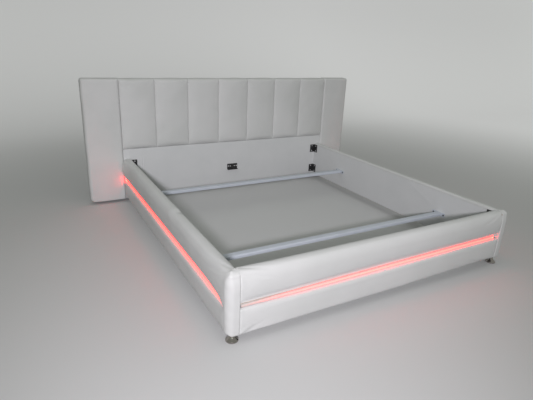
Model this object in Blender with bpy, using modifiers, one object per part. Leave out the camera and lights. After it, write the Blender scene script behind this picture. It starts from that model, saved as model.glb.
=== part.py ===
"""Upholstered double bed frame with a channelled headboard and lit side grooves.

Metres, +Z up, the floor at z = 0 and the origin at the middle of the footprint.
+X runs across the bed and +Y runs from the foot to the headboard.
"""

import math

import bmesh
import bpy
from mathutils import Matrix, Vector

# Mattress bay
MATTRESS_WIDTH = 1.80
MATTRESS_LENGTH = 2.00
BAY_SIDE_PLAY = 0.010
BAY_END_PLAY = 0.005

# Heights of the undersides over the floor
RAIL_UNDERSIDE = 0.045
HEADBOARD_UNDERSIDE = 0.019

# Gap kept between touching pieces, and overrun of a cutter past a face
GAP = 0.0003
OVERRUN = 0.004

# Turned shapes are merged at their axis, and shaded round up to this angle in degrees
MERGE_DISTANCE = 0.00001
SMOOTH_ANGLE = 40

# Rails and footboard: timber core, inner lining and the foam round the core
CORE_THICKNESS = 0.038
CORE_HEIGHT = 0.300
LINING_THICKNESS = 0.002
LINING_HEM = 0.006
SIDE_FOAM = 0.025
TOP_FOAM = 0.016
UNDER_WRAP = 0.005
INNER_FLAP = 0.010
INNER_TOP_DROP = 0.004
OUTER_TOP_DROP = 0.003
SIDE_CROWN = 0.003
INNER_TOP_RADIUS = 0.010
OUTER_TOP_RADIUS = 0.028
GROOVE_EDGE_RADIUS = 0.011
UNDER_EDGE_RADIUS = 0.019
TOP_ARC_STEPS = 5
EDGE_ARC_STEPS = 3

# Light groove, and the profile and light strip that lie along its lower edge
GROOVE_CENTRE = 0.153
GROOVE_HEIGHT = 0.046
PROFILE_HEIGHT = 0.014
PROFILE_DEPTH = 0.009
PROFILE_WALL = 0.0012
STRIP_SETBACK = 0.0004
FOOT_STRIP_LEFT_GAP = 0.010
FOOT_STRIP_RIGHT_GAP = 0.035

# How full the padding is near its ends: distance from the end, share of the foam
HEAD_END_REACH = 0.028
HEAD_END_SHARES = ((0.0, 0.45), (0.27, 0.70), (0.56, 0.90), (1.0, 1.0))
SEAM_END_REACH = 0.018
SEAM_END_SHARES = ((0.0, 0.86), (0.35, 0.97), (1.0, 1.0))

# Front corner pads
CORNER_RETURN = 0.040
CORNER_OUTER_RADIUS = 0.024
CORNER_SEAM_RADIUS = 0.007
CORNER_FRONT_FOAM = 0.011
CORNER_TOP_DOME = 0.030
CORNER_DOME_SHARES = ((0.0, 1.0), (0.50, 0.985), (0.80, 0.93), (1.0, 0.78))
CORNER_UNDER_SHARE = 0.90

# Headboard: channels between two wings, whose inner seams stand just inside the rails' sides
CHANNEL_COUNT = 7
WING_WIDTH = 0.2763
WING_OVER_RAIL = 0.00795
HEADBOARD_TOP = 0.993
CHANNEL_FOOT = 0.438
SEAM_FOAM = 0.012
CHANNEL_CROWN = 0.014
CHANNEL_SEAM_DIP = 0.005
CHANNEL_TOP_RADIUS = 0.022
CHANNEL_FOOT_RADIUS = 0.009
BACK_EDGE_RADIUS = 0.004
CHANNEL_STATION_SHARES = (-1.0, -0.955, -0.86, -0.62, -0.25, 0.25, 0.62, 0.86, 0.955, 1.0)
CROWN_BROAD_SHARE = 0.35
CROWN_BROAD_POWER = 2
CROWN_EDGE_POWER = 8
EDGE_FOAM = 0.010
EDGE_WRAP = 0.005
WING_INNER_RADIUS = 0.018
WING_OUTER_RADIUS = 0.022
WING_LOW_CORNER_RADIUS = 0.032
WING_TOP_RADIUS = 0.020
WING_ARC_STEPS = 4
WING_MIDDLE_SHARES = (0.25, 0.5, 0.75)
WING_HEIGHT_SHARES = (0.25, 0.5, 0.75)
FACE_BOARD_THICKNESS = 0.016
COVER_SETBACK = 0.004
FRAME_DEPTH = 0.040
FRAME_WIDTH = 0.060
BACK_LINING_THICKNESS = 0.003
GLIDE_RADIUS = 0.015
GLIDE_SIDES = 16
GLIDE_PLACE_SHARES = (-0.92, -0.45, 0.45, 0.92)

# Corner brackets of pressed steel
BRACKET_LEG = 0.050
BRACKET_HEIGHT = 0.075
BRACKET_THICKNESS = 0.0025
BRACKET_BEND = 0.003
BRACKET_UPPER_BASE = 0.227
BRACKET_LOWER_BASE = 0.024
BRACKET_HOLE_REACH = 0.030
BRACKET_HOLE_PITCH = 0.050

# Hangers for a middle beam
HANGER_WIDTH = 0.100
HANGER_HEIGHT = 0.052
HANGER_BASE = 0.136
HANGER_LEDGE = 0.024
HANGER_HOLE_RISE = 0.030
HANGER_HOLE_PLACES = (-0.040, -0.021, 0.021, 0.040)

# Crossbars of steel angle with welded end plates
CROSSBAR_TOP = 0.155
CROSSBAR_FLANGE = 0.040
CROSSBAR_DROP = 0.027
CROSSBAR_WALL = 0.0025
CROSSBAR_FORWARD = 0.030
CROSSBAR_HEAD_PLACE = 0.440
CROSSBAR_FOOT_PLACE = 1.600
END_PLATE_LENGTH = 0.110
END_PLATE_HEIGHT = 0.030
END_PLATE_HOLE_PITCH = 0.088

# Screws
SCREW_HEAD_RADIUS = 0.0048
SCREW_CROWN_RADIUS = 0.0030
SCREW_HEAD_HEIGHT = 0.0022
SCREW_HEAD_EDGE = 0.0010
SCREW_SHANK_RADIUS = 0.0020
SCREW_LENGTH = 0.020
SCREW_SIDES = 6
HOLE_PLAY = 0.0005
HOLE_EXTRA_DEPTH = 0.002

# Screw-in chrome feet with a threaded insert
FOOT_SIDE_PLACE = 0.025
FOOT_FRONT_PLACE = 0.034
FOOT_BASE_RADIUS = 0.031
FOOT_BASE_EDGE = 0.007
FOOT_SHOULDER_RADIUS = 0.024
FOOT_SHOULDER_HEIGHT = 0.014
FOOT_NECK_RADIUS = 0.011
FOOT_NECK_HEIGHT = 0.030
FOOT_FLANGE_RADIUS = 0.018
FOOT_FLANGE_THICKNESS = 0.004
FOOT_STUD_RADIUS = 0.0037
FOOT_STUD_LENGTH = 0.024
FOOT_SIDES = 24
INSERT_WALL = 0.0014
INSERT_LENGTH = 0.018
INSERT_FLANGE_RADIUS = 0.0075
INSERT_FLANGE_THICKNESS = 0.0035
STUD_HOLE_EXTRA = 0.010

# Light controller and its lead inside the headboard
CONTROLLER_LENGTH = 0.120
CONTROLLER_HEIGHT = 0.046
CONTROLLER_DEPTH = 0.028
INLET_RADIUS = 0.006
INLET_SIDES = 12
LEAD_RADIUS = 0.0025
LEAD_SAG = 0.025
LEAD_BEND = 0.014
LEAD_BEND_SHARES = (0.25, 0.5, 0.75)
LEAD_POINTS = 20
LEAD_HOLE_PLAY = 0.001

# Worked out: the bay and the faces that bound it
BAY_HALF = MATTRESS_WIDTH / 2 + BAY_SIDE_PLAY
BAY_LENGTH = MATTRESS_LENGTH + 2 * BAY_END_PLAY
CORE_INNER = LINING_THICKNESS
CORE_OUTER = LINING_THICKNESS + CORE_THICKNESS
RAIL_THICKNESS = CORE_OUTER + SIDE_FOAM
CORE_BASE = UNDER_WRAP
CORE_TOP = UNDER_WRAP + CORE_HEIGHT
RAIL_TOP = CORE_TOP + TOP_FOAM
GROOVE_TOP = GROOVE_CENTRE + GROOVE_HEIGHT / 2
GROOVE_BASE = GROOVE_CENTRE - GROOVE_HEIGHT / 2
FLAP_BASE = CORE_TOP - INNER_FLAP

# Worked out: depth of the headboard behind its seams, and the place of the seam plane
BOARD_FRONT = SEAM_FOAM
BOARD_BACK = BOARD_FRONT + FACE_BOARD_THICKNESS
FRAME_BACK = BOARD_BACK + GAP + FRAME_DEPTH
HEAD_DEPTH = FRAME_BACK + GAP + BACK_LINING_THICKNESS
FRONT_REACH = BAY_LENGTH - COVER_SETBACK + RAIL_THICKNESS
SEAM_Y = (FRONT_REACH - HEAD_DEPTH) / 2
HEAD_FACE_Y = SEAM_Y + COVER_SETBACK
FOOT_FACE_Y = HEAD_FACE_Y - BAY_LENGTH
FIELD_HALF = BAY_HALF + RAIL_THICKNESS - WING_OVER_RAIL
CHANNEL_PITCH = 2 * FIELD_HALF / CHANNEL_COUNT
HEADBOARD_HALF = FIELD_HALF + WING_WIDTH
HEAD_CORE_HALF = HEADBOARD_HALF - EDGE_FOAM
HEAD_CORE_BASE = HEADBOARD_UNDERSIDE + EDGE_WRAP
HEAD_CORE_TOP = HEADBOARD_TOP - EDGE_FOAM
LIGHT_CENTRE = GROOVE_BASE + GAP + PROFILE_HEIGHT / 2
LIGHT_Z = RAIL_UNDERSIDE + LIGHT_CENTRE
STRIP_OUT = CORE_OUTER + GAP + PROFILE_DEPTH / 2
STILE_X = BAY_HALF - BRACKET_HOLE_REACH
HOLE_RADIUS = SCREW_SHANK_RADIUS + HOLE_PLAY


def remove_everything():
    for item in list(bpy.data.objects):
        bpy.data.objects.remove(item)


def new_collection(name):
    collection = bpy.data.collections.new(name)
    bpy.context.scene.collection.children.link(collection)
    return collection


def new_material(name, colour, roughness, metallic):
    made = bpy.data.materials.new(name)
    made.use_nodes = True
    made.diffuse_color = colour
    shader = made.node_tree.nodes["Principled BSDF"]
    shader.inputs["Base Color"].default_value = colour
    shader.inputs["Roughness"].default_value = roughness
    shader.inputs["Metallic"].default_value = metallic
    return made


def object_from_bmesh(name, shape, material, collection):
    """Close the shape's normals outwards and put it in the scene as one object."""
    bmesh.ops.recalc_face_normals(shape, faces=shape.faces)
    mesh = bpy.data.meshes.new(name)
    shape.to_mesh(mesh)
    shape.free()
    made = bpy.data.objects.new(name, mesh)
    collection.objects.link(made)
    if material is not None:
        mesh.materials.append(material)
    return made


def add_box_to(shape, low, high):
    """One closed box between two corners, made from a unit cube."""
    size = [high[axis] - low[axis] for axis in range(3)]
    middle = [(high[axis] + low[axis]) / 2 for axis in range(3)]
    place = Matrix.Translation(middle) @ Matrix.Diagonal(size + [1.0])
    bmesh.ops.create_cube(shape, size=1.0, matrix=place)


def box(name, low, high, material, collection):
    shape = bmesh.new()
    add_box_to(shape, low, high)
    return object_from_bmesh(name, shape, material, collection)


def loft(name, rings, material, collection):
    """Skin through rings with equal numbers of points, closed by a face at each end."""
    shape = bmesh.new()
    made = [[shape.verts.new(point) for point in ring] for ring in rings]
    count = len(rings[0])
    for ring, following in zip(made, made[1:]):
        for index in range(count):
            after = (index + 1) % count
            shape.faces.new((ring[index], ring[after], following[after], following[index]))
    shape.faces.new(made[0])
    shape.faces.new(made[-1])
    item = object_from_bmesh(name, shape, material, collection)
    shade_round(item)
    return item


def shade_round(item):
    item.data.shade_smooth()
    item.data.set_sharp_from_angle(angle=math.radians(SMOOTH_ANGLE))


def rounded_outline(corners):
    """Points round an outline whose corners are (place, radius, steps), arcs included."""
    points = []
    count = len(corners)
    for index, (place, radius, steps) in enumerate(corners):
        here = Vector(place)
        if radius == 0:
            points.append(here)
            continue
        to_last = (Vector(corners[index - 1][0]) - here).normalized()
        to_next = (Vector(corners[(index + 1) % count][0]) - here).normalized()
        half = to_last.angle(to_next) / 2
        reach = radius / math.tan(half)
        centre = here + (to_last + to_next).normalized() * (radius / math.sin(half))
        first = (here + to_last * reach - centre).normalized()
        last = (here + to_next * reach - centre).normalized()
        for step in range(steps + 1):
            points.append(centre + first.slerp(last, step / steps) * radius)
    return points


def cut(item, cutter, operation="DIFFERENCE"):
    modifier = item.modifiers.new(operation.title(), "BOOLEAN")
    modifier.operation = operation
    modifier.solver = "EXACT"
    modifier.object = cutter


def as_cutter(item):
    item.hide_render = True
    item.display_type = "WIRE"
    return item


def cylinder_cutter(name, places, radius, depth, sides):
    """One cutter of round bars, each from a point on a face inwards against its normal."""
    shape = bmesh.new()
    for point, normal in places:
        turn = Vector(normal).to_track_quat("Z", "Y").to_matrix().to_4x4()
        middle = Vector(point) + Vector(normal) * (OVERRUN - depth) / 2
        bmesh.ops.create_cone(
            shape, cap_ends=True, segments=sides, radius1=radius, radius2=radius,
            depth=depth + OVERRUN, matrix=Matrix.Translation(middle) @ turn)
    return as_cutter(object_from_bmesh(name, shape, None, CUTTERS))


def turned_mesh(name, profile, steps, closed=False):
    """Mesh of a profile of (radius, height) points turned once about Z."""
    points = [(radius, 0.0, height) for radius, height in profile]
    edges = [(index, index + 1) for index in range(len(points) - 1)]
    if closed:
        edges.append((len(points) - 1, 0))
    mesh = bpy.data.meshes.new(name)
    mesh.from_pydata(points, edges, [])
    maker = bpy.data.objects.new(name, mesh)
    bpy.context.scene.collection.objects.link(maker)
    screw = maker.modifiers.new("Turn", "SCREW")
    screw.steps = steps
    screw.render_steps = steps
    screw.use_merge_vertices = True
    screw.merge_threshold = MERGE_DISTANCE
    screw.use_normal_calculate = True
    bpy.context.view_layer.update()
    evaluated = maker.evaluated_get(bpy.context.evaluated_depsgraph_get())
    result = bpy.data.meshes.new_from_object(evaluated)
    bpy.data.objects.remove(maker)
    return result


def place_copies(name, mesh, places, material, collection):
    """One object of separate solids: the mesh copied to each matrix."""
    shape = bmesh.new()
    for place in places:
        before = len(shape.verts)
        shape.from_mesh(mesh)
        shape.verts.ensure_lookup_table()
        bmesh.ops.transform(shape, matrix=place, verts=shape.verts[before:])
    item = object_from_bmesh(name, shape, material, collection)
    shade_round(item)
    return item


def facing(point, normal):
    """Matrix that stands a turned mesh on a point with its top along the normal."""
    return Matrix.Translation(point) @ Vector(normal).to_track_quat("Z", "Y").to_matrix().to_4x4()


remove_everything()
BED = new_collection("leather_double_bed")
CUTTERS = new_collection("cutters")

LEATHER = new_material("white_faux_leather", (0.80, 0.80, 0.79, 1.0), 0.45, 0.0)
LINING_CLOTH = new_material("light_lining", (0.66, 0.67, 0.67, 1.0), 0.75, 0.0)
BACK_CLOTH = new_material("black_back_cloth", (0.03, 0.03, 0.03, 1.0), 0.90, 0.0)
CHIPBOARD = new_material("chipboard", (0.55, 0.42, 0.27, 1.0), 0.80, 0.0)
PINE = new_material("pine_batten", (0.70, 0.52, 0.32, 1.0), 0.70, 0.0)
BLACK_STEEL = new_material("black_steel", (0.025, 0.025, 0.028, 1.0), 0.45, 0.6)
ZINC = new_material("zinc_screw", (0.72, 0.72, 0.70, 1.0), 0.35, 1.0)
WHITE_STEEL = new_material("white_painted_steel", (0.78, 0.79, 0.80, 1.0), 0.40, 0.0)
CHROME = new_material("chrome", (0.85, 0.85, 0.86, 1.0), 0.08, 1.0)
ALUMINIUM = new_material("aluminium_profile", (0.75, 0.75, 0.76, 1.0), 0.35, 1.0)
LIGHT_STRIP = new_material("red_light_strip", (1.0, 0.20, 0.18, 1.0), 0.50, 0.0)
BLACK_PLASTIC = new_material("black_plastic", (0.03, 0.03, 0.03, 1.0), 0.50, 0.0)


# Padding sections of the rails and the footboard
def upper_pad_corners():
    """Hook over the core: outward distance from the inner face, height over the underside."""
    side = RAIL_THICKNESS - SIDE_CROWN
    middle = (GROOVE_TOP + RAIL_TOP) / 2
    return [
        ((0.0, FLAP_BASE), 0, 0),
        ((0.0, RAIL_TOP - INNER_TOP_DROP), INNER_TOP_RADIUS, EDGE_ARC_STEPS),
        ((RAIL_THICKNESS / 2, RAIL_TOP), 0, 0),
        ((side, RAIL_TOP - OUTER_TOP_DROP), OUTER_TOP_RADIUS, TOP_ARC_STEPS),
        ((RAIL_THICKNESS, middle), 0, 0),
        ((side, GROOVE_TOP), GROOVE_EDGE_RADIUS, EDGE_ARC_STEPS),
        ((CORE_OUTER + GAP, GROOVE_TOP), 0, 0),
        ((CORE_OUTER + GAP, CORE_TOP + GAP), 0, 0),
        ((CORE_INNER - GAP, CORE_TOP + GAP), 0, 0),
        ((CORE_INNER - GAP, FLAP_BASE), 0, 0)]


def lower_pad_corners():
    side = RAIL_THICKNESS - SIDE_CROWN
    middle = GROOVE_BASE / 2
    return [
        ((CORE_INNER + GAP, 0.0), 0, 0),
        ((CORE_INNER + GAP, CORE_BASE - GAP), 0, 0),
        ((CORE_OUTER + GAP, CORE_BASE - GAP), 0, 0),
        ((CORE_OUTER + GAP, GROOVE_BASE), 0, 0),
        ((side, GROOVE_BASE), GROOVE_EDGE_RADIUS, EDGE_ARC_STEPS),
        ((RAIL_THICKNESS, middle), 0, 0),
        ((side, 0.0), UNDER_EDGE_RADIUS, TOP_ARC_STEPS)]


def drawn_in(outline, share):
    """Outline whose foam, outside the core and over it, is drawn in to a share."""
    result = []
    for outward, height in outline:
        if outward > CORE_OUTER + GAP:
            outward = CORE_OUTER + GAP + (outward - CORE_OUTER - GAP) * share
        if height > CORE_TOP + GAP:
            height = CORE_TOP + GAP + (height - CORE_TOP - GAP) * share
        result.append((outward, height))
    return result


def end_stations(first, last, first_reach, first_shares, last_reach, last_shares):
    """Places along a pad with the share of foam there, from one end to the other."""
    way = 1 if last > first else -1
    stations = [(first + way * reach * first_reach, share) for reach, share in first_shares]
    stations += [(last - way * reach * last_reach, share) for reach, share in reversed(last_shares)]
    return stations


def rail_pad(name, side, corners):
    """Pad along one rail: side is -1 on the left and 1 on the right."""
    outline = rounded_outline(corners)
    first = HEAD_FACE_Y - GAP
    last = FOOT_FACE_Y - RAIL_THICKNESS + CORNER_RETURN + GAP
    rings = []
    for along, share in end_stations(
            first, last, HEAD_END_REACH, HEAD_END_SHARES, SEAM_END_REACH, SEAM_END_SHARES[1:]):
        rings.append([
            (side * (BAY_HALF + outward), along, RAIL_UNDERSIDE + height)
            for outward, height in drawn_in(outline, share)])
    return loft(name, rings, LEATHER, BED)


def foot_pad(name, corners):
    outline = rounded_outline(corners)
    last = BAY_HALF - GAP
    rings = []
    for across, share in end_stations(
            -last, last, SEAM_END_REACH, SEAM_END_SHARES, SEAM_END_REACH, SEAM_END_SHARES):
        rings.append([
            (across, FOOT_FACE_Y - outward, RAIL_UNDERSIDE + height)
            for outward, height in drawn_in(outline, share)])
    return loft(name, rings, LEATHER, BED)


def corner_pad(name, side, core):
    """Padded end of a rail: a post with a domed top, hollowed for the rail's core."""
    back = RAIL_THICKNESS - CORNER_RETURN
    outline = rounded_outline([
        ((0.0, back), 0, 0),
        ((0.0, RAIL_THICKNESS), CORNER_SEAM_RADIUS, EDGE_ARC_STEPS),
        ((RAIL_THICKNESS, RAIL_THICKNESS), CORNER_OUTER_RADIUS, TOP_ARC_STEPS),
        ((RAIL_THICKNESS, back), 0, 0)])
    middle = Vector((RAIL_THICKNESS / 2, back))
    stations = [(0.0, CORNER_UNDER_SHARE), (UNDER_WRAP, 1.0)]
    stations += [
        (RAIL_TOP - CORNER_TOP_DOME + share * CORNER_TOP_DOME, size)
        for share, size in CORNER_DOME_SHARES]
    rings = []
    for height, size in stations:
        ring = []
        for point in outline:
            outward, forward = middle + (point - middle) * size
            ring.append((
                side * (BAY_HALF + outward), FOOT_FACE_Y - forward, RAIL_UNDERSIDE + height))
        rings.append(ring)
    item = loft(name, rings, LEATHER, BED)
    cut(item, core)
    return item


def rail_box(name, side, inner, outer, base, top, head, foot, material, collection):
    """Box along a rail: outward distances, heights over the underside, and both ends."""
    inside = side * (BAY_HALF + inner)
    outside = side * (BAY_HALF + outer)
    low = (min(inside, outside), foot, RAIL_UNDERSIDE + base)
    high = (max(inside, outside), head, RAIL_UNDERSIDE + top)
    return box(name, low, high, material, collection)


def foot_box(name, inner, outer, base, top, ends, material):
    """Box across the footboard: outward distances, heights and its left and right ends."""
    left, right = ends
    low = (left, FOOT_FACE_Y - outer, RAIL_UNDERSIDE + base)
    high = (right, FOOT_FACE_Y - inner, RAIL_UNDERSIDE + top)
    return box(name, low, high, material, BED)


def profile_outline():
    """Open channel section: outward distance from the core and height about its middle."""
    half = PROFILE_HEIGHT / 2
    inside = half - PROFILE_WALL
    return [
        (0.0, -half), (PROFILE_DEPTH, -half), (PROFILE_DEPTH, -inside),
        (PROFILE_WALL, -inside), (PROFILE_WALL, inside), (PROFILE_DEPTH, inside),
        (PROFILE_DEPTH, half), (0.0, half)]


# Screw places
def bracket_screws(side, end_y, inward, base):
    """Places and normals of a corner bracket's four screws, on its inner faces."""
    middle = RAIL_UNDERSIDE + base + BRACKET_HEIGHT / 2
    face = GAP + BRACKET_THICKNESS
    places = []
    for rise in (-BRACKET_HOLE_PITCH / 2, BRACKET_HOLE_PITCH / 2):
        on_rail = (side * (BAY_HALF - face), end_y + inward * BRACKET_HOLE_REACH, middle + rise)
        on_end = (side * (BAY_HALF - BRACKET_HOLE_REACH), end_y + inward * face, middle + rise)
        places.append((on_rail, (-side, 0.0, 0.0)))
        places.append((on_end, (0.0, inward, 0.0)))
    return places


def hanger_screws(end_y, inward):
    height = RAIL_UNDERSIDE + HANGER_BASE + HANGER_HOLE_RISE
    face = end_y + inward * (GAP + BRACKET_THICKNESS)
    return [((across, face, height), (0.0, inward, 0.0)) for across in HANGER_HOLE_PLACES]


def crossbar_screws(place, side):
    height = RAIL_UNDERSIDE + CROSSBAR_TOP - END_PLATE_HEIGHT / 2
    face = side * (BAY_HALF - GAP - CROSSBAR_WALL)
    return [
        ((face, HEAD_FACE_Y - place + shift, height), (-side, 0.0, 0.0))
        for shift in (-END_PLATE_HOLE_PITCH / 2, END_PLATE_HOLE_PITCH / 2)]


SIDES = {"left": -1, "right": 1}
ENDS = {"head": (HEAD_FACE_Y, -1), "foot": (FOOT_FACE_Y, 1)}
LEVELS = {"upper": BRACKET_UPPER_BASE, "lower": BRACKET_LOWER_BASE}
CROSSBARS = {"head": CROSSBAR_HEAD_PLACE, "foot": CROSSBAR_FOOT_PLACE}
BRACKET_PLACES = [
    place
    for side in SIDES.values()
    for end_y, inward in ENDS.values()
    for base in LEVELS.values()
    for place in bracket_screws(side, end_y, inward, base)]
BRACKET_PLACES += [
    place for end_y, inward in ENDS.values() for place in hanger_screws(end_y, inward)]
CROSSBAR_PLACES = [
    place
    for along in CROSSBARS.values()
    for side in SIDES.values()
    for place in crossbar_screws(along, side)]
SCREW_HOLES = cylinder_cutter(
    "screw_hole_cutter", BRACKET_PLACES + CROSSBAR_PLACES, HOLE_RADIUS,
    SCREW_LENGTH + HOLE_EXTRA_DEPTH, SCREW_SIDES)


# Lead hole through the headboard, in line with the left rail's light strip
LEAD_SIDE = SIDES["left"]
LEAD_FACE = (LEAD_SIDE * (BAY_HALF + STRIP_OUT), HEAD_FACE_Y, LIGHT_Z)
LEAD_HOLE = cylinder_cutter(
    "lead_hole_cutter", [(LEAD_FACE, (0.0, -1.0, 0.0))], LEAD_RADIUS + LEAD_HOLE_PLAY,
    BOARD_BACK - COVER_SETBACK + OVERRUN, INLET_SIDES)


# Headboard boards, frame, lining and glides
def headboard_core():
    board = box(
        "headboard_face_board",
        (-HEAD_CORE_HALF, SEAM_Y + BOARD_FRONT, HEAD_CORE_BASE),
        (HEAD_CORE_HALF, SEAM_Y + BOARD_BACK, HEAD_CORE_TOP), CHIPBOARD, BED)
    cut(board, SCREW_HOLES)
    cut(board, LEAD_HOLE)
    front = SEAM_Y + BOARD_BACK + GAP
    back = SEAM_Y + FRAME_BACK
    box("headboard_frame_top", (-HEAD_CORE_HALF, front, HEAD_CORE_TOP - FRAME_WIDTH),
        (HEAD_CORE_HALF, back, HEAD_CORE_TOP), PINE, BED)
    box("headboard_frame_bottom", (-HEAD_CORE_HALF, front, HEAD_CORE_BASE),
        (HEAD_CORE_HALF, back, HEAD_CORE_BASE + FRAME_WIDTH), PINE, BED)
    passage = cylinder_cutter(
        "stile_passage_cutter",
        [((LEAD_SIDE * (STILE_X + FRAME_WIDTH / 2), lead_depth(), LIGHT_Z), (LEAD_SIDE, 0.0, 0.0))],
        LEAD_RADIUS + LEAD_HOLE_PLAY, FRAME_WIDTH + OVERRUN, INLET_SIDES)
    end_middle = HEAD_CORE_HALF - FRAME_WIDTH / 2
    for number, middle in enumerate((-end_middle, -STILE_X, STILE_X, end_middle), start=1):
        stile = box(
            "headboard_stile_%d" % number,
            (middle - FRAME_WIDTH / 2, front, HEAD_CORE_BASE + FRAME_WIDTH + GAP),
            (middle + FRAME_WIDTH / 2, back, HEAD_CORE_TOP - FRAME_WIDTH - GAP), PINE, BED)
        cut(stile, passage)
    lining = box(
        "headboard_back_lining", (-HEAD_CORE_HALF, back + GAP, HEAD_CORE_BASE),
        (HEAD_CORE_HALF, SEAM_Y + HEAD_DEPTH, HEAD_CORE_TOP), BACK_CLOTH, BED)
    inlet_hole = cylinder_cutter(
        "inlet_hole_cutter", [((0.0, SEAM_Y + HEAD_DEPTH, LIGHT_Z), (0.0, 1.0, 0.0))],
        INLET_RADIUS + GAP, BACK_LINING_THICKNESS + OVERRUN, INLET_SIDES)
    cut(lining, inlet_hole)
    cover = box(
        "headboard_lower_cover", (-FIELD_HALF + GAP, HEAD_FACE_Y, HEAD_CORE_BASE),
        (FIELD_HALF - GAP, SEAM_Y + BOARD_FRONT - GAP, CHANNEL_FOOT - GAP), LINING_CLOTH, BED)
    cut(cover, SCREW_HOLES)
    cut(cover, LEAD_HOLE)


def lead_depth():
    """The y place of the lead and the controller, behind the face board."""
    return SEAM_Y + BOARD_BACK + GAP + CONTROLLER_DEPTH / 2


def headboard_glides():
    height = HEAD_CORE_BASE - GAP
    depth = SEAM_Y + (BOARD_BACK + FRAME_BACK) / 2
    for number, share in enumerate(GLIDE_PLACE_SHARES, start=1):
        shape = bmesh.new()
        bmesh.ops.create_cone(
            shape, cap_ends=True, segments=GLIDE_SIDES, radius1=GLIDE_RADIUS,
            radius2=GLIDE_RADIUS, depth=height,
            matrix=Matrix.Translation((share * FIELD_HALF, depth, height / 2)))
        item = object_from_bmesh("headboard_glide_%d" % number, shape, BLACK_PLASTIC, BED)
        shade_round(item)


# Headboard padding
def crown_share(across):
    """Height of a channel's crown at a share of its half width, falling fast at its seams."""
    place = abs(across)
    broad = CROWN_BROAD_SHARE * place ** CROWN_BROAD_POWER
    edge = (1.0 - CROWN_BROAD_SHARE) * place ** CROWN_EDGE_POWER
    return 1.0 - broad - edge


def channel_pad(number):
    middle = (number - (CHANNEL_COUNT + 1) / 2) * CHANNEL_PITCH
    half = CHANNEL_PITCH / 2 - GAP
    rings = []
    for station in CHANNEL_STATION_SHARES:
        fullness = crown_share(station)
        front = -CHANNEL_CROWN * fullness
        top = HEADBOARD_TOP - CHANNEL_SEAM_DIP * (1.0 - fullness)
        outline = rounded_outline([
            ((front, CHANNEL_FOOT), CHANNEL_FOOT_RADIUS, EDGE_ARC_STEPS - 1),
            ((front, (CHANNEL_FOOT + top) / 2), 0, 0),
            ((front, top), CHANNEL_TOP_RADIUS, EDGE_ARC_STEPS),
            ((HEAD_DEPTH, top), BACK_EDGE_RADIUS, 1),
            ((HEAD_DEPTH, HEAD_CORE_TOP + GAP), 0, 0),
            ((BOARD_FRONT - GAP, HEAD_CORE_TOP + GAP), 0, 0),
            ((BOARD_FRONT - GAP, CHANNEL_FOOT), 0, 0)])
        rings.append([(middle + station * half, SEAM_Y + depth, height)
                      for depth, height in outline])
    return loft("channel_pad_%d" % number, rings, LEATHER, BED)


def wing_section(fullness, outer_inset):
    """Outline seen from above: distance across from the inner edge, depth behind the seams."""
    front = -CHANNEL_CROWN * fullness / 2
    width = WING_WIDTH - GAP - outer_inset
    corners = [
        ((0.0, HEAD_DEPTH), 0, 0),
        ((0.0, front), WING_INNER_RADIUS, WING_ARC_STEPS)]
    for share in WING_MIDDLE_SHARES:
        rise = CHANNEL_CROWN * fullness / 2 * crown_share(2 * share - 1)
        corners.append(((width * share, front - rise), 0, 0))
    corners += [
        ((width, front), WING_OUTER_RADIUS, WING_ARC_STEPS),
        ((width, HEAD_DEPTH), BACK_EDGE_RADIUS, 1)]
    return rounded_outline(corners)


def wing_stations():
    """Height, fullness and inset of the outer side, from the bottom edge to the top edge."""
    stations = []
    for step in range(WING_ARC_STEPS + 1):
        angle = math.pi / 2 * step / WING_ARC_STEPS
        rise = WING_LOW_CORNER_RADIUS * (1.0 - math.cos(angle))
        inset = WING_LOW_CORNER_RADIUS * (1.0 - math.sin(angle))
        stations.append((HEADBOARD_UNDERSIDE + rise, math.sin(angle), inset))
    full_height = HEADBOARD_TOP - HEADBOARD_UNDERSIDE
    for share in WING_HEIGHT_SHARES:
        stations.append((HEADBOARD_UNDERSIDE + full_height * share, 1.0, 0.0))
    for step in range(WING_ARC_STEPS + 1):
        angle = math.pi / 2 * step / WING_ARC_STEPS
        drop = WING_TOP_RADIUS * (1.0 - math.sin(angle))
        inset = BACK_EDGE_RADIUS * (1.0 - math.cos(angle))
        stations.append((HEADBOARD_TOP - drop, math.cos(angle), inset))
    return stations


def wing_pad(name, side, core):
    rings = []
    for height, fullness, inset in wing_stations():
        rings.append([
            (side * (FIELD_HALF + GAP + across), SEAM_Y + depth, height)
            for across, depth in wing_section(fullness, inset)])
    item = loft(name, rings, LEATHER, BED)
    cut(item, core)
    return item


def headboard_padding():
    core = as_cutter(box(
        "headboard_core_cutter",
        (-HEAD_CORE_HALF - GAP, SEAM_Y + BOARD_FRONT - GAP, HEAD_CORE_BASE - GAP),
        (HEAD_CORE_HALF + GAP, SEAM_Y + HEAD_DEPTH + OVERRUN, HEAD_CORE_TOP + GAP),
        None, CUTTERS))
    for number in range(1, CHANNEL_COUNT + 1):
        channel_pad(number)
    for word, side in SIDES.items():
        wing_pad("wing_pad_" + word, side, core)


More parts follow.
